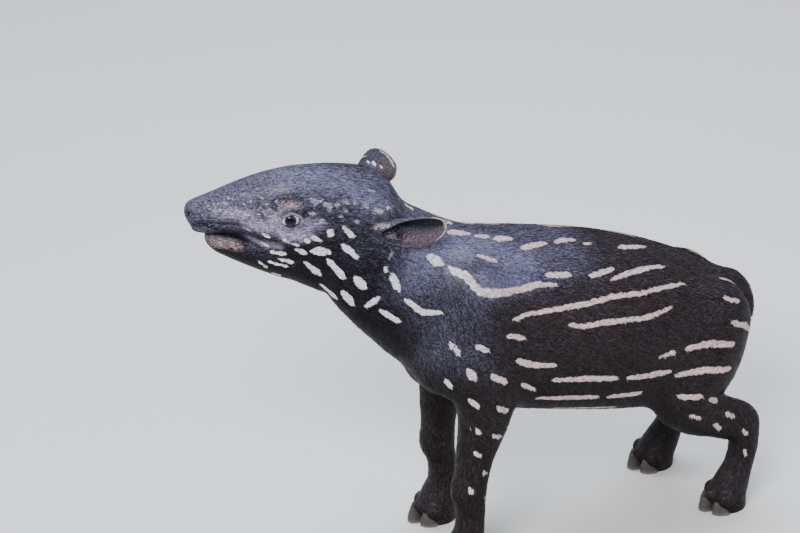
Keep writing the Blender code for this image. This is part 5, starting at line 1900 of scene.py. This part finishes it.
def eye_ball(side, look):
    """One eye: a ball with its clear front raised, and each point's place from its middle."""
    bpy.ops.mesh.primitive_uv_sphere_add(segments=64, ring_count=48, radius=1.0)
    obj = bpy.context.active_object
    obj.name = "eyeball_left" if side > 0 else "eyeball_right"
    mesh = obj.data
    points = places_of(mesh)
    angle = np.arccos(np.clip(points[:, 2], -1, 1))
    raised = 1 + 0.035 * (1 - smooth_step(angle, 0.35, 0.85))
    gaze = points[:, :2] / np.maximum(np.hypot(points[:, 0], points[:, 1]), 1e-6)[:, None]
    store(mesh, "gaze", np.insert(gaze * angle[:, None], 2, 0.0, axis=1), "FLOAT_VECTOR")
    set_places(mesh, points * raised[:, None] * (EYE_RADIUS - EYE_GAP))
    mesh.shade_smooth()
    out = Vector((EYE_GAZE[0], side, EYE_GAZE[1])).normalized()
    ahead = Vector((1, 0, 0))
    ahead = (ahead - out * ahead.dot(out)).normalized()
    up = out.cross(ahead) * side
    turned = Matrix((ahead * side, up, out)).transposed()
    middle = Vector((EYE_PLACE[0], side * EYE_DEPTH, EYE_PLACE[1]))
    mesh.transform(Matrix.Translation(PLACE) @ head_matrix() @ Matrix.Translation(middle) @ turned.to_4x4())
    mesh.materials.append(look)
    return obj


def hoof(leg, toe):
    """One hoof, a blunt rounded toe cap with growth rings and a flat sole."""
    size = toe[3]
    half_length, half_width, height = (size * value for value in HOOF)
    rings = []
    for share in np.linspace(0.0, 1.0, 26):
        swell = math.cos(share * 0.62 * math.pi / 2) - 0.28 * share
        swell *= 1 + 0.010 * math.sin(share * 40)
        flat = outline(half_width, -half_width, half_length, 0.5, (2.4, 2.4), 44) * swell
        if share == 0.0:
            flat = flat * 0.955
        flat[:, 0] += 0.45 * half_length * share
        low = max(0.0002, toe[4]) - toe[4]
        rings.append(np.insert(flat, 2, low + height * max(0.0, share - 0.02), axis=1))
    obj = loft("hoof_form", rings)
    obj.data.transform(toe_place(leg, toe))
    return obj


def hooves(leg, look):
    obj = fused("hooves_" + leg, [hoof(leg, toe) for toe in toes_of(leg)])
    obj.data.transform(Matrix.Translation(PLACE))
    obj.data.materials.append(look)
    obj.data.shade_smooth()
    obj.data.set_sharp_from_angle(angle=math.radians(40))
    return obj


def area_light(name, place, target, size, power, colour):
    lamp = bpy.data.lights.new(name, "AREA")
    lamp.shape = "RECTANGLE"
    lamp.size, lamp.size_y = size
    lamp.energy = power
    lamp.color = colour
    obj = new_object(name, lamp)
    way = Vector(target) - Vector(place)
    obj.matrix_world = Matrix.Translation(place) @ way.to_track_quat("-Z", "Y").to_matrix().to_4x4()
    return obj


def studio():
    """Floor, soft light and camera."""
    floor_mesh = bpy.data.meshes.new("floor")
    corners = [(x * FLOOR_REACH, y * FLOOR_REACH, 0) for x, y in ((-1, -1), (1, -1), (1, 1), (-1, 1))]
    floor_mesh.from_pydata(corners, [], [(0, 1, 2, 3)])
    floor = new_object("floor", floor_mesh)
    floor_mesh.materials.append(floor_look())
    for light in LIGHTS:
        area_light(*light)
    world = bpy.data.worlds.new("studio")
    world.use_nodes = True
    room = world.node_tree.nodes["Background"].inputs
    room["Color"].default_value = ROOM_COLOUR
    room["Strength"].default_value = ROOM_LIGHT
    bpy.context.scene.world = world
    lens = bpy.data.cameras.new("camera")
    lens.sensor_width = FILM_WIDTH
    lens.lens = FILM_WIDTH * CAMERA_AWAY / (PHOTO_SIZE[0] * METRES_A_PIXEL)
    lens.clip_end = 60.0
    camera = new_object("camera", lens)
    right, up, back = camera_axes()
    turned = Matrix((right, up, back)).transposed().to_4x4()
    camera.matrix_world = Matrix.Translation(camera_place()) @ turned
    bpy.context.scene.camera = camera


def main():
    skin, ears, guides, values = build_skin()
    skin.name = "skin"
    skin.data.transform(Matrix.Translation(PLACE))
    skin_values(skin, ears, values, guides)
    skin.data.shade_smooth()
    skin.data.materials.clear()
    skin.data.materials.append(skin_look())

    coat = build_coat(skin)
    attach(skin, "root")
    flesh_nodes = ["head", "neck", "torso", "tail", "ear_left", "ear_right", *LEGS]
    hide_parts(*flesh_nodes)
    for piece in coat:
        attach(piece, "root")

    eye_finish = eye_look()
    for side, node in ((1, "eye_left"), (-1, "eye_right")):
        eye = eye_ball(side, eye_finish)
        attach(eye, "root")
        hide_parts(node)
    horn = horn_look()
    for leg in LEGS:
        feet = hooves(leg, horn)
        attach(feet, "root")
        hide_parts(*(f"hoof_{leg}_{k}" for k in range(1, len(toes_of(leg)) + 1)))
    studio()


main()
